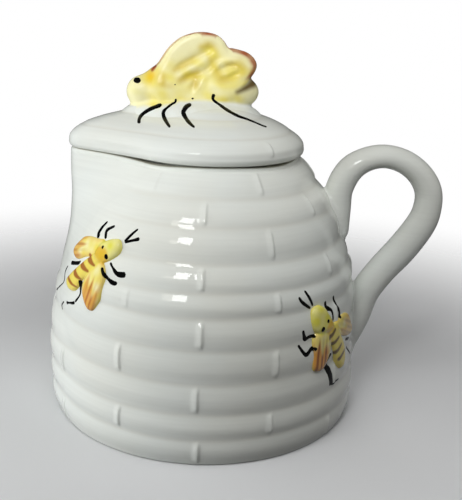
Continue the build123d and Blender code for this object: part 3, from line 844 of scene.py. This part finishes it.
def make_pot():
    az = spaced_out(sum(BARS, []), *BAR_POINTS)
    recess = GROOVES[0][0] - FOOT_RING
    rings = [(recess * share, FOOT_RECESS) for share in (0.2, 0.5, 0.8, 0.97)]
    rings += [(recess, FOOT_RECESS - 0.2), (recess, 0.3), (recess + 0.3, 0.0)]
    unglazed = slice((len(rings) - 1) * len(az), len(rings) * len(az))
    foot = wall(az, EDGE)
    rings += [(foot - EDGE * inset, EDGE * depth) for inset, depth in rounded()]
    strength, width = GROOVE_DARK
    for z in np.arange(EDGE + POT_RINGS, RIM - EDGE, POT_RINGS):
        here = wall(az, z)
        row, place = coil_share(az, z)
        gap = np.minimum(place, 1.0 - place) * np.asarray(ROW_HEIGHTS)[row]
        dark = np.exp(-(gap / width) ** 2) * coil_fade(az, z) * strength
        rings.append((here + bars(az, z, here), z, dark))
    rim = wall(az, RIM)
    # the rim's top and inner edge take the bare tint, which is also painted shade in the gap under
    # the lid
    for inset, depth in rounded()[::-1]:
        bare_and_shaded = RIM_BARE_AND_SHADED * smooth(0.35, 0.9, inset)
        rings.append((rim - EDGE * inset, RIM - EDGE * depth, bare_and_shaded))
    mouth = inner_radius(az, RIM)
    for inset, depth in rounded():
        rings.append((mouth + INNER_EDGE * inset, RIM - INNER_EDGE * depth, RIM_BARE_AND_SHADED))
    floor = FOOT_RECESS + WALL
    for z in np.linspace(RIM - 1.5, floor + FLOOR_CORNER + 0.5, INNER_RINGS):
        rings.append((inner_radius(az, z), z))
    for inset, depth in rounded(8)[::-1]:
        inner = inner_radius(az, GROOVE_Z[1], WALL + FLOOR_CORNER * inset)
        rings.append((inner, floor + FLOOR_CORNER * depth))
    rings += [(inner * share, floor) for share in (0.9, 0.6, 0.3)]
    rings = [(radius, lowered(az, z), *shade) for radius, z, *shade in rings]
    points, faces, shade = ring_surface(az, rings, FOOT_RECESS, floor)
    pot = piece("hive_pot", points, faces, [CREAM_GLAZE, CLAY], "pot", ["pot_body"])
    give_value(pot, "groove", shade)
    slots = np.zeros(len(faces), int)
    slots[unglazed] = 1
    pot.data.polygons.foreach_set("material_index", slots)
    return points, faces


# --- handle ------------------------------------------------------------------------------------
def handle_line():
    """Centreline of the handle as x, height and thickness."""
    belly = GROOVES[:, 0].max()
    stations = [(GROOVES[-1][0] + out, RIM + up, thick) for out, up, thick in HANDLE_LOOP]
    stations += [(belly + out, z, thick) for z, out, thick in HANDLE_TAIL]
    return flowing(stations, pieces=9)


HANDLE_LINE = handle_line()


def handle_field(x, y, z):
    """Negative inside the handle, which flares onto the wall and ends within it."""
    gap, along = segment_distance(HANDLE_LINE[:, :2], x, z)
    thick = np.interp(along, np.arange(len(HANDLE_LINE)), HANDLE_LINE[:, 2]) / 2
    wide = HANDLE_WIDTH / 2
    across = np.sqrt((gap / thick) ** 2 + (y / wide) ** 2 + 1e-9)
    round_out = (gap ** 2 + y ** 2 + 1e-6) / (
        (gap * wide / thick) ** 2 + (y * thick / wide) ** 2 + 1e-6
    )
    tube = (across - 1.0) * np.minimum(thick, wide) * np.sqrt(round_out) ** 0.5
    azimuth = np.degrees(np.arctan2(x, -y))
    outside = np.hypot(x, y) - wall(azimuth, np.clip(z, 0.5, RIM - 0.5), coils=0.0)
    return seated(tube, outside, *HANDLE_SEAT)


def make_handle():
    low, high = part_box("handle")
    low = [edge / MM - margin for edge, margin in zip(low, HANDLE_MARGINS[0])]
    high = [edge / MM + margin for edge, margin in zip(high, HANDLE_MARGINS[1])]
    points, faces = skin(handle_field, low, high, HANDLE_CELL)
    handle = piece("looped_handle", points, faces, [CREAM_GLAZE], "pot", ["handle"])
    give_value(handle, "groove", np.zeros(len(points)))


# --- lid ---------------------------------------------------------------------------------------
def dome_ring(azimuth, step):
    """Radius and height of the lid's dome at a step of its course."""
    knots = np.arange(len(LID_STEPS))
    rise, inset, tip_inset, nose = (curve_through(knots, LID_STEPS[:, i], step) for i in range(4))
    radius = LID_RADIUS - inset
    reach = max(LID_TIP - tip_inset - radius, 0.01)
    out = teardrop(radius, reach, nose, azimuth)[0]
    stops = np.array([0.0, *LID_GROOVES, len(LID_STEPS) - 1.0])
    i = min(np.searchsorted(stops, step, side="right") - 1, len(stops) - 2)
    place = (step - stops[i]) / (stops[i + 1] - stops[i])
    swell = LID_GROOVE_DEPTH * (sin(pi * min(max(place, 0.0), 1.0)) ** 0.7 - 0.6)
    at, first, last = LID_BAR
    foot, head = LID_BAR_ENDS
    ends = smooth(first, first + foot, step) * smooth(last, last - head, step)
    bar = BAR_PROUD * ends * bar_ridge(azimuth, at, out)
    lift = swell * smooth(0.0, 1.8, step) + bar
    outwards, upwards = LID_SWELL
    return out + outwards * lift, LID_EDGE + rise + upwards * lift


DOME_STEPS = np.linspace(0.0, len(LID_STEPS) - 1.0, 90)
TABLE_ANGLE = 3.0
TABLE_STEP = 0.5
DOME_SLOPE = 0.9          # turns a height over the dome into about the distance from it


def make_lid():
    az = spaced_out([LID_BAR[0]], *LID_BAR_POINTS)
    springing = LID_EDGE + LID_STEPS[2][0] - LID_WALL / 2
    crown = LID_EDGE + LID_STEPS[5][0] - LID_WALL
    rise = crown - springing
    vault = (FLANGE_INNER ** 2 + rise ** 2) / (2 * rise)
    rings = []
    for share in (0.15, 0.3, 0.45, 0.6, 0.75, 0.9, 1.0):
        radius = FLANGE_INNER * share
        rings.append((radius, crown - vault + (vault ** 2 - radius ** 2) ** 0.5))
    bottom = RIM - FLANGE_DEPTH
    rings += [(FLANGE_INNER, z) for z in (springing - 0.3, RIM, bottom + FLANGE_EDGE)]
    for inset, depth in rounded(4)[::-1]:
        rings.append((FLANGE_INNER + FLANGE_EDGE * inset, bottom + FLANGE_EDGE * depth))
    for inset, depth in rounded(4):
        rings.append((FLANGE_OUTER - FLANGE_EDGE * inset, bottom + FLANGE_EDGE * depth))
    rings += [(FLANGE_OUTER, RIM - 0.5), (FLANGE_OUTER, RIM - 0.05), (FLANGE_OUTER + 0.2, RIM)]
    _, _, drawn_in, nose = LID_STEPS[0]
    reach = LID_TIP - drawn_in - LID_RADIUS
    for inset, depth in rounded(10):
        cut = LID_ROLL * inset
        out, flank = teardrop(LID_RADIUS - cut, reach, nose - cut, az)
        rings.append((out - FLANK_HOLLOW * np.sin(pi * flank), RIM + LID_ROLL * depth))
    strength, width = LID_SHADE
    for step in DOME_STEPS:
        radius, z = dome_ring(az, step)
        hollow = FLANK_HOLLOW * np.sin(pi * flank) * smooth(LID_FLANK_STEPS, 0.0, step)
        gap = min(abs(step - at) for at in LID_GROOVES)
        rings.append((radius - hollow, z, strength * np.exp(-(gap / width) ** 2)))
    top = LID_EDGE + LID_STEPS[-1][0]
    rings += [(radius * share, top) for share in (0.7, 0.35)]
    points, faces, shade = ring_surface(az, rings, crown, top)
    lid = piece("lid_dome", points, faces, [CREAM_GLAZE], "lid", ["lid"])
    give_value(lid, "groove", shade)
    return points, faces


def dome_table():
    """Height of the dome on a grid of azimuth and distance from the axis."""
    az = np.arange(0.0, 360.0, TABLE_ANGLE)
    rings = [dome_ring(az, step) for step in DOME_STEPS]
    radii = np.array([r for r, z in rings])[::-1]
    heights = np.array([np.broadcast_to(z, az.shape) for r, z in rings])[::-1]
    reach = np.arange(0.0, 50.0, TABLE_STEP)
    table = np.array([np.interp(reach, radii[:, i], heights[:, i]) for i in range(len(az))])
    return np.concatenate([table, table[:1]])


DOME_TABLE = dome_table()


def dome_height(x, y):
    """Height of the lid's top over a point."""
    az = (np.degrees(np.arctan2(x, -y)) % 360.0) / TABLE_ANGLE
    far = np.clip(np.hypot(x, y) / TABLE_STEP, 0.0, DOME_TABLE.shape[1] - 1.001)
    i, j = az.astype(int), far.astype(int)
    s, t = az - i, far - j
    low = DOME_TABLE[i, j] * (1 - t) + DOME_TABLE[i, j + 1] * t
    high = DOME_TABLE[i + 1, j] * (1 - t) + DOME_TABLE[i + 1, j + 1] * t
    return low * (1 - s) + high * s


# --- bee on the lid ----------------------------------------------------------------------------
def egg(x, y, z, centre, half):
    """Distance field of an ellipsoid."""
    scaled = [(c - m) / h for c, m, h in zip((x, y, z), centre, half)]
    once = np.sqrt(sum(s ** 2 for s in scaled) + 1e-9)
    twice = np.sqrt(sum((s / h) ** 2 for s, h in zip(scaled, half)) + 1e-9)
    return once * (once - 1.0) / twice


def fold_height(x, z):
    """How far the wing's face stands out or in along its folds."""
    total = 0.0
    pieces = 4
    for height, half, course in WING_FOLDS:
        gap, along = segment_distance(flowing(course, pieces), x, z)
        end = (len(course) - 1) * pieces
        ends = smooth(0.0, pieces, along) * smooth(end, end - pieces, along)
        total = total + height * np.exp(-(gap / (FOLD_SOFTNESS * half)) ** 2) * (0.3 + 0.7 * ends)
    return total


def wing_field(x, y, z, side):
    """One side's fore and hind wing, as a puffed slab with a folded outer face."""
    shift = RIGHT_WING_SHIFT if side > 0 else (0.0, 0.0)
    u, v = x - shift[0], z - shift[1]
    flat = outline_distance(WING_OUTLINE, u, v)
    folds = FOLD_SHARE * fold_height(u, v) * smooth(0.3, 2.5, -flat)
    face = np.interp(z, *zip(*WING_FACE)) + folds
    gap = np.interp(z, *zip(*WING_GAP))
    slab = overlap(side * y - face, gap - side * y, SLAB_ROUNDING)
    return overlap(flat, slab, WING_ROUNDING)


def bee_field(x, y, z):
    """The bee on its pad, blended onto the lid's dome and ending within it."""
    body = egg(x, y, z, *BEE_LUMPS[0])
    for lump, fillet in zip(BEE_LUMPS[1:], BEE_FILLETS):
        body = union(body, egg(x, y, z, *lump), fillet)
    wings = np.minimum(wing_field(x, y, z, -1.0), wing_field(x, y, z, 1.0))
    body = union(body, wings, WING_FILLET)
    body = union(body, egg(x, y, z, *BEE_PAD), PAD_FILLET)
    return seated(body, (z - dome_height(x, y)) * DOME_SLOPE, *BEE_SEAT)


def blend_paint(colours, paint, amount):
    return colours + (paint - colours) * np.clip(amount, 0.0, 1.0)[:, None]


def painted(colours, *layers):
    """Layers (paint, amount) brushed on one after the other."""
    for paint, amount in layers:
        colours = blend_paint(colours, paint, amount)
    return colours


def bee_paint(points, normals):
    """Colours of the lid's bee, from the body's yellow to the white at its foot. The soft edges
    are places along it (x) or heights (z) in mm."""
    x, y, z = points.T
    u = x - np.where(y > 0, RIGHT_WING_SHIFT[0], 0.0)
    flat = outline_distance(WING_OUTLINE, u, z)
    wing = smooth(0.4, -0.2, flat) * smooth(107.5, 110.5, z)
    mottle = noise(x * 1.3, z * 1.6, 5)
    head = smooth(-17.0, -20.5, x) * smooth(119, 113, z) * smooth(103.0, 108.0, z)
    belly = smooth(111.0, 105.5, z) * smooth(-23.0, -18.0, x) * smooth(12.0, 7.0, x)
    furrow = smooth(-0.1, -0.8, fold_height(u, z))
    glows = sum(strength * glow(u, z, *spot) for strength, spot in WING_GLOWS)
    facing = normals[:, 1] * np.where(y > 0, -1.0, 1.0)
    reach = np.interp(u, *zip(*WING_RIM))
    rim = smooth(-reach - 0.08, -reach + 0.08, facing) * smooth(-3.2, -2.0, flat)
    rim = rim * smooth(111.0, 113.5, z) * (0.85 + 0.15 * noise(u * 1.5, z, 12))
    rim = rim * (1.0 - 0.45 * smooth(-7.0, -10.0, u))
    spot = cover(WING_SPOT, x, z, 0.4) * smooth(-4.5, -2.5, y)
    line = np.interp(x, *zip(*BEE_FOOT_LINE))
    return painted(
        np.tile(PALE_YELLOW, (len(points), 1)),
        (LIME, head * (0.05 + 0.15 * mottle)),
        (YELLOW, belly * (0.65 + 0.3 * mottle)),
        (STRONG_YELLOW, glow(x, z, *FACE_GLOW)),
        (ORANGE, 0.55 * glow(x, z, *CHEEK_GLOW)),
        (YELLOW, wing * smooth(121.0, 112.0, z) * (0.55 + 0.35 * mottle)),
        (OCHRE, wing * furrow * 0.35),
        *[(OCHRE, wing * 0.85 * cover(stroke, u, z, 1.5)) for stroke in WING_WASHES],
        (YELLOW, wing * glows * (0.8 + 0.3 * mottle)),
        # painted shade where the hind wing overhangs the abdomen
        (RECESS_SHADE_OLIVE, 0.95 * cover(BEE_RECESS_SHADE, x, z, 1.0)),
        (RED_BROWN, np.maximum(rim, spot)),
        (CREAM * 1.02, smooth(0.7, -0.7, z - line + 0.25 * noise(x * 2.0, y, 8))),
    )


def make_lid_bee():
    points, faces = skin(bee_field, *BEE_BOX, BEE_CELL)
    _, normals = settle(bee_field, points, BEE_CELL)
    bee = piece("lid_bee", points, faces, [LID_BEE_GLAZE], "lid",
                ["lid_bee_body", "lid_bee_wings_left", "lid_bee_wings_right"])
    give_colour(bee, "paint", bee_paint(points, normals))
    return points, faces


# --- bees in relief ----------------------------------------------------------------------------
def flipped(points):
    """Points (forward, left, ...) on the other side of a bee's middle line."""
    return [(forward, -left, *rest) for forward, left, *rest in points]


def mirrored(bee):
    """The same bee on the pot's back, as in a mirror."""
    azimuth, height, heading, radius = bee["at"]
    return {
        **bee,
        "at": (180.0 - azimuth, height, -heading, radius),
        "parts": [(*shape, flipped(outline)) for *shape, outline in bee["parts"]],
        "patch": flipped(bee["patch"]),
        "stripes": [flipped(line) for line in bee["stripes"]],
        "flames": [(*flipped([root, tip]), start, -aside, half, strength)
                   for root, tip, start, aside, half, strength in bee["flames"]],
        "legs": [flipped(line) for line in bee["legs"]],
        "eyes": flipped(bee["eyes"]),
    }


def on_wall(bee, forward, left):
    """Azimuth and height of a place given from the bee's middle."""
    azimuth, height, heading, radius = bee["at"]
    turn = radians(heading)
    lift = forward * cos(turn) + left * sin(turn)
    aside = forward * sin(turn) - left * cos(turn)
    return azimuth + np.degrees(aside / radius), height + lift


def flame_paint(tone, brown, u, v, root, tip, start, aside, half, strength):
    """Orange brushed in from a wing's tip, with fine brown lines."""
    du, dv = tip[0] - root[0], tip[1] - root[1]
    length = (du ** 2 + dv ** 2) ** 0.5
    along = ((u - root[0]) * du + (v - root[1]) * dv) / length ** 2
    across = ((v - root[1]) * du - (u - root[0]) * dv) / length
    lick = 0.2 * noise(across * 2.6, along, 21)
    wash = smooth(start - 0.12, start + 0.12, along + lick)
    wash = wash * smooth(half + 0.7, half - 0.7, np.abs(across - aside))
    lines = smooth(0.1, 0.8, noise(across * 5.5, along * 2.0, 22))
    lines = lines * np.maximum(wash, 0.35 * smooth(start - 0.35, start, along))
    return painted(tone, (BRUSHED, strength * wash), (brown, 0.8 * strength * lines))


def relief_paint(kind, bee, flames, depth, u, v):
    """Colours of one part of a relief bee. The wings take their flames in turn."""
    mottle = noise(u * 1.7, v * 1.9, 3)
    if kind == "head":
        return painted(np.tile(LIME, (len(u), 1)), (PALE_YELLOW, 0.25 + 0.2 * mottle))
    base = np.tile(YELLOW, (len(u), 1))
    if kind == "abdomen":
        return painted(base, (ORANGE, 0.15 + 0.1 * mottle))
    edge = smooth(2.2, 0.2, depth)
    tone = painted(base, (PALE_YELLOW, 0.35 + 0.3 * mottle), (ORANGE, 0.35 * edge))
    return flame_paint(tone, srgb(*bee["brown"]), u, v, *next(flames))


def box_faces(kept):
    """Faces of a closed slab over the kept cells of a grid: its face, its back and its sides."""
    rows, columns = kept.shape[0] + 1, kept.shape[1] + 1
    cell = np.argwhere(kept)
    corner = cell[:, 0] * columns + cell[:, 1]
    quads = np.stack([corner, corner + columns, corner + columns + 1, corner + 1], -1)
    total = rows * columns
    faces = [quads[:, ::-1], quads + total]
    padded = np.pad(kept, 1)
    for di, dj, a, b in ((-1, 0, 0, 1), (1, 0, columns + 1, columns), (0, -1, columns, 0),
                         (0, 1, 1, columns + 1)):
        open_side = ~padded[cell[:, 0] + 1 + di, cell[:, 1] + 1 + dj]
        start, end = corner[open_side] + a, corner[open_side] + b
        faces.append(np.stack([start, end, end + total, start + total], -1))
    return np.concatenate(faces)


def make_relief_bee(name, bee):
    forward, left = np.meshgrid(*(np.arange(*span, RELIEF_CELL) for span in RELIEF_SPAN),
                                indexing="ij")
    top = np.full(forward.shape, -RELIEF_SINK)
    nearest = np.full(forward.shape, -np.inf)
    colours = np.tile(YELLOW, (forward.size, 1))
    u, v = forward.ravel(), left.ravel()
    flames = iter(bee["flames"])
    for kind, proud, edge, outline in bee["parts"]:
        depth = -outline_distance(outline, forward, left)
        share = np.clip(depth / edge, 0.0, 1.0)
        shape = proud * np.sqrt(1.0 - (1.0 - share) ** 2)
        shape = np.where(depth > 0, shape, np.maximum(-RELIEF_SINK, depth * RELIEF_FALL))
        top = -union(-top, -shape, PART_FILLET)
        nearest = np.maximum(nearest, depth)
        tone = relief_paint(kind, bee, flames, depth.ravel(), u, v)
        colours = blend_paint(colours, tone, smooth(-0.15, 0.15, depth).ravel())
    patch = smooth(0.7, -0.6, outline_distance(bee["patch"], u, v))
    colours = blend_paint(colours, AMBER, 0.8 * patch)
    for line in bee["stripes"]:
        wide = [(f, s, STRIPE_FULLNESS * w) for f, s, w in line]
        stripe = 0.9 * cover(wide, u, v, 0.25)
        colours = blend_paint(colours, srgb(*bee["stripe_brown"]), stripe)
    azimuth, z = on_wall(bee, forward, left)
    upper, _ = wall_point(azimuth, z, top)
    lower, _ = wall_point(azimuth, z, np.full(top.shape, -RELIEF_BACK))
    raised = nearest > -RELIEF_MARGIN
    kept = raised[:-1, :-1] | raised[1:, :-1] | raised[1:, 1:] | raised[:-1, 1:]
    used, faces = np.unique(box_faces(kept), return_inverse=True)
    faces = faces.reshape(-1, 4)
    points = np.concatenate([upper.reshape(-1, 3), lower.reshape(-1, 3)])[used]
    made = piece(name + "_painted", points, faces, [RELIEF_GLAZE], "pot", [name])
    give_colour(made, "paint", np.concatenate([colours, colours])[used])
    return points, faces


# --- black brush strokes -----------------------------------------------------------------------
STROKE_FULLNESS = 1.1     # widths are scaled by this, then widened by the spread
STROKE_SPREAD = 0.2
STROKE_SECTION = [        # across and up, for half a width of 1
    (-1.0, -0.06), (-0.75, 0.06), (-0.3, 0.13), (0.3, 0.13), (0.75, 0.06), (1.0, -0.06),
    (0.4, -0.3), (-0.4, -0.3),
]
STROKE_LEAST = 0.04
STROKE_WOBBLE = 0.08      # how unsteady the widths are
STROKE_STEP = 0.3
SLIM = 0.25               # strokes narrower than this are flatter too
SIGHT_HEIGHT = 8.0        # rays onto the pot's wall start this far out
DOT_RINGS = [             # share of the radius, height
    (0.999, -0.25), (1.0, -0.02), (0.85, 0.1), (0.5, 0.16), (0.15, 0.18),
]
DOT_SPOKES = 16


def joined(*meshes):
    points, faces = [], []
    for mesh_points, mesh_faces in meshes:
        faces += [[i + len(points) for i in face] for face in mesh_faces]
        points += list(mesh_points)
    return points, faces


def surface_tree(*meshes):
    """Ray target made of several meshes."""
    points, faces = joined(*meshes)
    return BVHTree.FromPolygons([Vector(p) for p in points], [[int(i) for i in f] for f in faces])


def closed_rings(rings):
    """Mesh of equal rings of points, closed by a face at each end."""
    count = len(rings[0])
    faces = grid_faces(len(rings), count, True).tolist()
    faces.append(list(range(count))[::-1])
    faces.append([(len(rings) - 1) * count + k for k in range(count)])
    return [p for ring in rings for p in ring], faces


def laid(tree, start, way):
    """Where a ray meets the surface, and the surface's direction there."""
    hit, normal, _, _ = tree.ray_cast(Vector(start), Vector(way))
    if hit is None:
        return None, None
    if normal.dot(Vector(way)) > 0:
        normal = -normal
    return np.array(hit), np.array(normal)


def stroke_mesh(tree, strokes, sight):
    """Closed lens-shaped ribbons on a surface. sight(u, v) gives the start and way of a ray."""
    ribbons = []
    for stroke in strokes:
        line = flowing(stroke, pieces=8)
        course = np.concatenate([[0.0], np.cumsum(np.hypot(*np.diff(line[:, :2], axis=0).T))])
        stations = np.linspace(0.0, course[-1], max(int(course[-1] / STROKE_STEP), 4))
        u, v, width = (np.interp(stations, course, line[:, i]) for i in range(3))
        ends = np.minimum(stations, course[-1] - stations)
        blunt = np.clip(ends / np.maximum(width / 2, 0.05), 0.0, 1.0)
        half = (STROKE_FULLNESS * width + STROKE_SPREAD) / 2 * np.sqrt(1.0 - (1.0 - blunt) ** 2)
        half = (half + STROKE_LEAST) * (1.0 + STROKE_WOBBLE * noise(stations * 3.0, u, 4))
        du, dv = np.gradient(u), np.gradient(v)
        length = np.hypot(du, dv) + 1e-9
        side = np.stack([-dv / length, du / length], -1)
        rings = []
        for i in range(len(stations)):
            ring = []
            for across, lift in STROKE_SECTION:
                at = np.array([u[i], v[i]]) + side[i] * across * half[i]
                hit, normal = laid(tree, *sight(*at))
                if hit is None:
                    break
                slim = min(1.0, half[i] / SLIM)
                ring.append(hit + normal * (lift * slim if lift > 0 else lift))
            if len(ring) == len(STROKE_SECTION):
                rings.append(ring)
        if len(rings) > 2:
            ribbons.append(closed_rings(rings))
    return joined(*ribbons)


def dot_mesh(tree, dots, sight):
    """Flat drops of glaze: (u, v, half length, half height)."""
    drops = []
    for u, v, wide, high in dots:
        rings = []
        for share, lift in DOT_RINGS:
            ring = []
            for angle in np.arange(DOT_SPOKES) * 2 * pi / DOT_SPOKES:
                ray = sight(u + wide * share * cos(angle), v + high * share * sin(angle))
                hit, normal = laid(tree, *ray)
                ring.append(hit + normal * lift)
            rings.append(ring)
        drops.append(closed_rings(rings))
    return joined(*drops)


def make_strokes(name, body, tree, strokes, dots, sight):
    points, faces = joined(stroke_mesh(tree, strokes, sight), dot_mesh(tree, dots, sight))
    piece(name, points, faces, [BLACK_GLAZE], body)


def make_relief_strokes(name, bee, tree):
    def sight(forward, left):
        azimuth, z = on_wall(bee, forward, left)
        start, normal = wall_point(np.array(azimuth), np.array(z), SIGHT_HEIGHT)
        return start, -normal

    eyes = [(forward, left, radius, radius) for forward, left, radius in bee["eyes"]]
    make_strokes(name + "_strokes", "pot", tree, bee["legs"], eyes, sight)


def make_lid_strokes(name, side, tree):
    def sight(x, z):
        eye = np.array(SIGHT_POINT) * (1.0, side, 1.0)
        way = np.array([x, 0.0, z]) - eye
        return eye, way / np.linalg.norm(way)

    make_strokes(name, "lid", tree, LID_STROKES, [LID_EYE, LID_SPECK], sight)


pot_mesh = make_pot()
make_handle()
lid_mesh = make_lid()
lid_bee_mesh = make_lid_bee()
RELIEF_BEES = {
    "relief_bee_spout_front": BEE_BY_LIP,
    "relief_bee_spout_back": mirrored(BEE_BY_LIP),
    "relief_bee_handle_front": BEE_BY_HANDLE,
    "relief_bee_handle_back": mirrored(BEE_BY_HANDLE),
}
relief_meshes = {name: make_relief_bee(name, bee) for name, bee in RELIEF_BEES.items()}
pot_tree = surface_tree(pot_mesh, *relief_meshes.values())
for bee_name, bee in RELIEF_BEES.items():
    make_relief_strokes(bee_name, bee, pot_tree)
lid_tree = surface_tree(lid_mesh, lid_bee_mesh)
make_lid_strokes("lid_bee_strokes_front", 1.0, lid_tree)
make_lid_strokes("lid_bee_strokes_back", -1.0, lid_tree)

# --- studio ------------------------------------------------------------------------------------
# A light hangs at a bearing (azimuth, angle above the level, distance) from a point on the pot's
# axis and is aimed at it. Only some of them show as a highlight in the glaze.
WARM = (1.0, 0.95, 0.85)
COOL = (0.97, 0.99, 1.0)
WHITE = (1.0, 1.0, 1.0)
LIGHTS = [                # name, bearing, height of the point, width, height, watts, colour, shows
    ("window", (-20.0, 35.0, 1.2), 0.05, 0.22, 0.3, 2.0, WHITE, True),
    ("lamp", (-29.5, 29.0, 1.2), 0.05, 0.15, 0.15, 0.2, WARM, True),
    ("low_left_fill", (-80.0, 0.0, 0.42), 0.05, 0.5, 0.1, 1.52, COOL, False),
    ("front_fill", (-10.0, 45.0, 0.18), 0.09, 0.15, 0.1, 0.175, WHITE, False),
    ("right_fill", (72.0, 26.0, 0.25), 0.12, 0.17, 0.12, 0.125, WHITE, False),
    ("back_fill", (170.0, 38.0, 0.7), 0.05, 0.5, 0.4, 0.9, WHITE, False),
]
for name, (azimuth, lift, distance), aim, width, height, watts, colour, shows in LIGHTS:
    lamp = bpy.data.lights.new(name, "AREA")
    lamp.shape = "RECTANGLE"
    lamp.size = width
    lamp.size_y = height
    lamp.energy = watts
    lamp.color = colour
    light = placed(name, lamp)
    bearing = radians(azimuth)
    away = Vector((cos(radians(lift)) * sin(bearing), -cos(radians(lift)) * cos(bearing),
                   sin(radians(lift))))
    light.location = Vector((0.0, 0.0, aim)) + away * distance
    light.rotation_euler = away.to_track_quat("Z", "Y").to_euler()
    light.visible_glossy = shows
    light.visible_camera = False

# The floor is pale to the camera and in the glaze, and throws little light back at the pot.
FLOOR_REACH = 6.0
FLOOR_FADE = (0.10, 0.30)     # it fades into the white between these distances from the pot
corners = [(-1, -1), (1, -1), (1, 1), (-1, 1)]
floor_mesh = bpy.data.meshes.new("floor")
floor_mesh.from_pydata([(x * FLOOR_REACH, y * FLOOR_REACH, 0) for x, y in corners], [], [range(4)])
floor = placed("floor", floor_mesh)
look = Nodes(bpy.data.materials.new("floor"))
seen_tone = look.ramp(look.noise(3.0), (0.3, (0.80, 0.81, 0.82)), (0.7, (0.84, 0.85, 0.86)))
bounce_tone = look.ramp(look.noise(3.0), (0.3, (0.06,) * 3), (0.7, (0.07,) * 3))
rays = look.add("LightPath", {}).outputs
seen = look.add("Math", {0: rays["Is Camera Ray"], 1: rays["Is Glossy Ray"]}, operation="MAXIMUM")
floor_tone = look.mix(seen.outputs[0], bounce_tone, seen_tone)
middle = look.add("TexCoord", {}).outputs["Object"]
from_pot = look.add("VectorMath", {0: middle}, operation="LENGTH")
near, far = FLOOR_FADE
fade = look.add("MapRange", {"From Min": near, "From Max": far, "To Min": 1.0, "To Max": 0.0,
                             "Value": from_pot.outputs["Value"]},
                interpolation_type="SMOOTHSTEP")
floor_mesh.materials.append(look.finish(floor_tone, roughness=(0.7, 0.8), shine=0.2,
                                        Alpha=fade.outputs["Result"]))

# The world is a dim warm sky, and plain white to the camera.
world = bpy.data.worlds.new("studio")
bpy.context.scene.world = world
air = Nodes(world)
sky = air.tree.nodes["Background"]
air.fill(sky, {"Color": (1.0, 0.98, 0.95, 1.0), "Strength": 0.07})
white = air.add("Background", {"Color": (1.0, 1.0, 1.0, 1.0)})
to_camera = air.add("LightPath", {}).outputs["Is Camera Ray"]
chosen = air.add("MixShader", {0: to_camera, 1: sky.outputs[0], 2: white.outputs[0]})
air.fill(air.tree.nodes["World Output"], {"Surface": chosen.outputs[0]})

# --- camera ------------------------------------------------------------------------------------
YAW, PITCH, ROLL = (radians(angle) for angle in (0.90, 16.94, 2.34))
camera_data = bpy.data.cameras.new("camera")
camera_data.sensor_width = 36.0
camera_data.lens = 57.43
camera_data.clip_start = 0.01
camera = placed("camera", camera_data)
forward = Vector((sin(YAW) * cos(PITCH), cos(YAW) * cos(PITCH), -sin(PITCH)))
level = Vector((cos(YAW), -sin(YAW), 0.0))
upright = level.cross(forward)
right = level * cos(ROLL) + upright * sin(ROLL)
up = upright * cos(ROLL) - level * sin(ROLL)
camera.matrix_world = Matrix.Translation(Vector(SIGHT_POINT) * MM) @ Matrix(
    (right, up, -forward)).transposed().to_4x4()
bpy.context.scene.camera = camera
bpy.context.scene.view_settings.view_transform = "Standard"
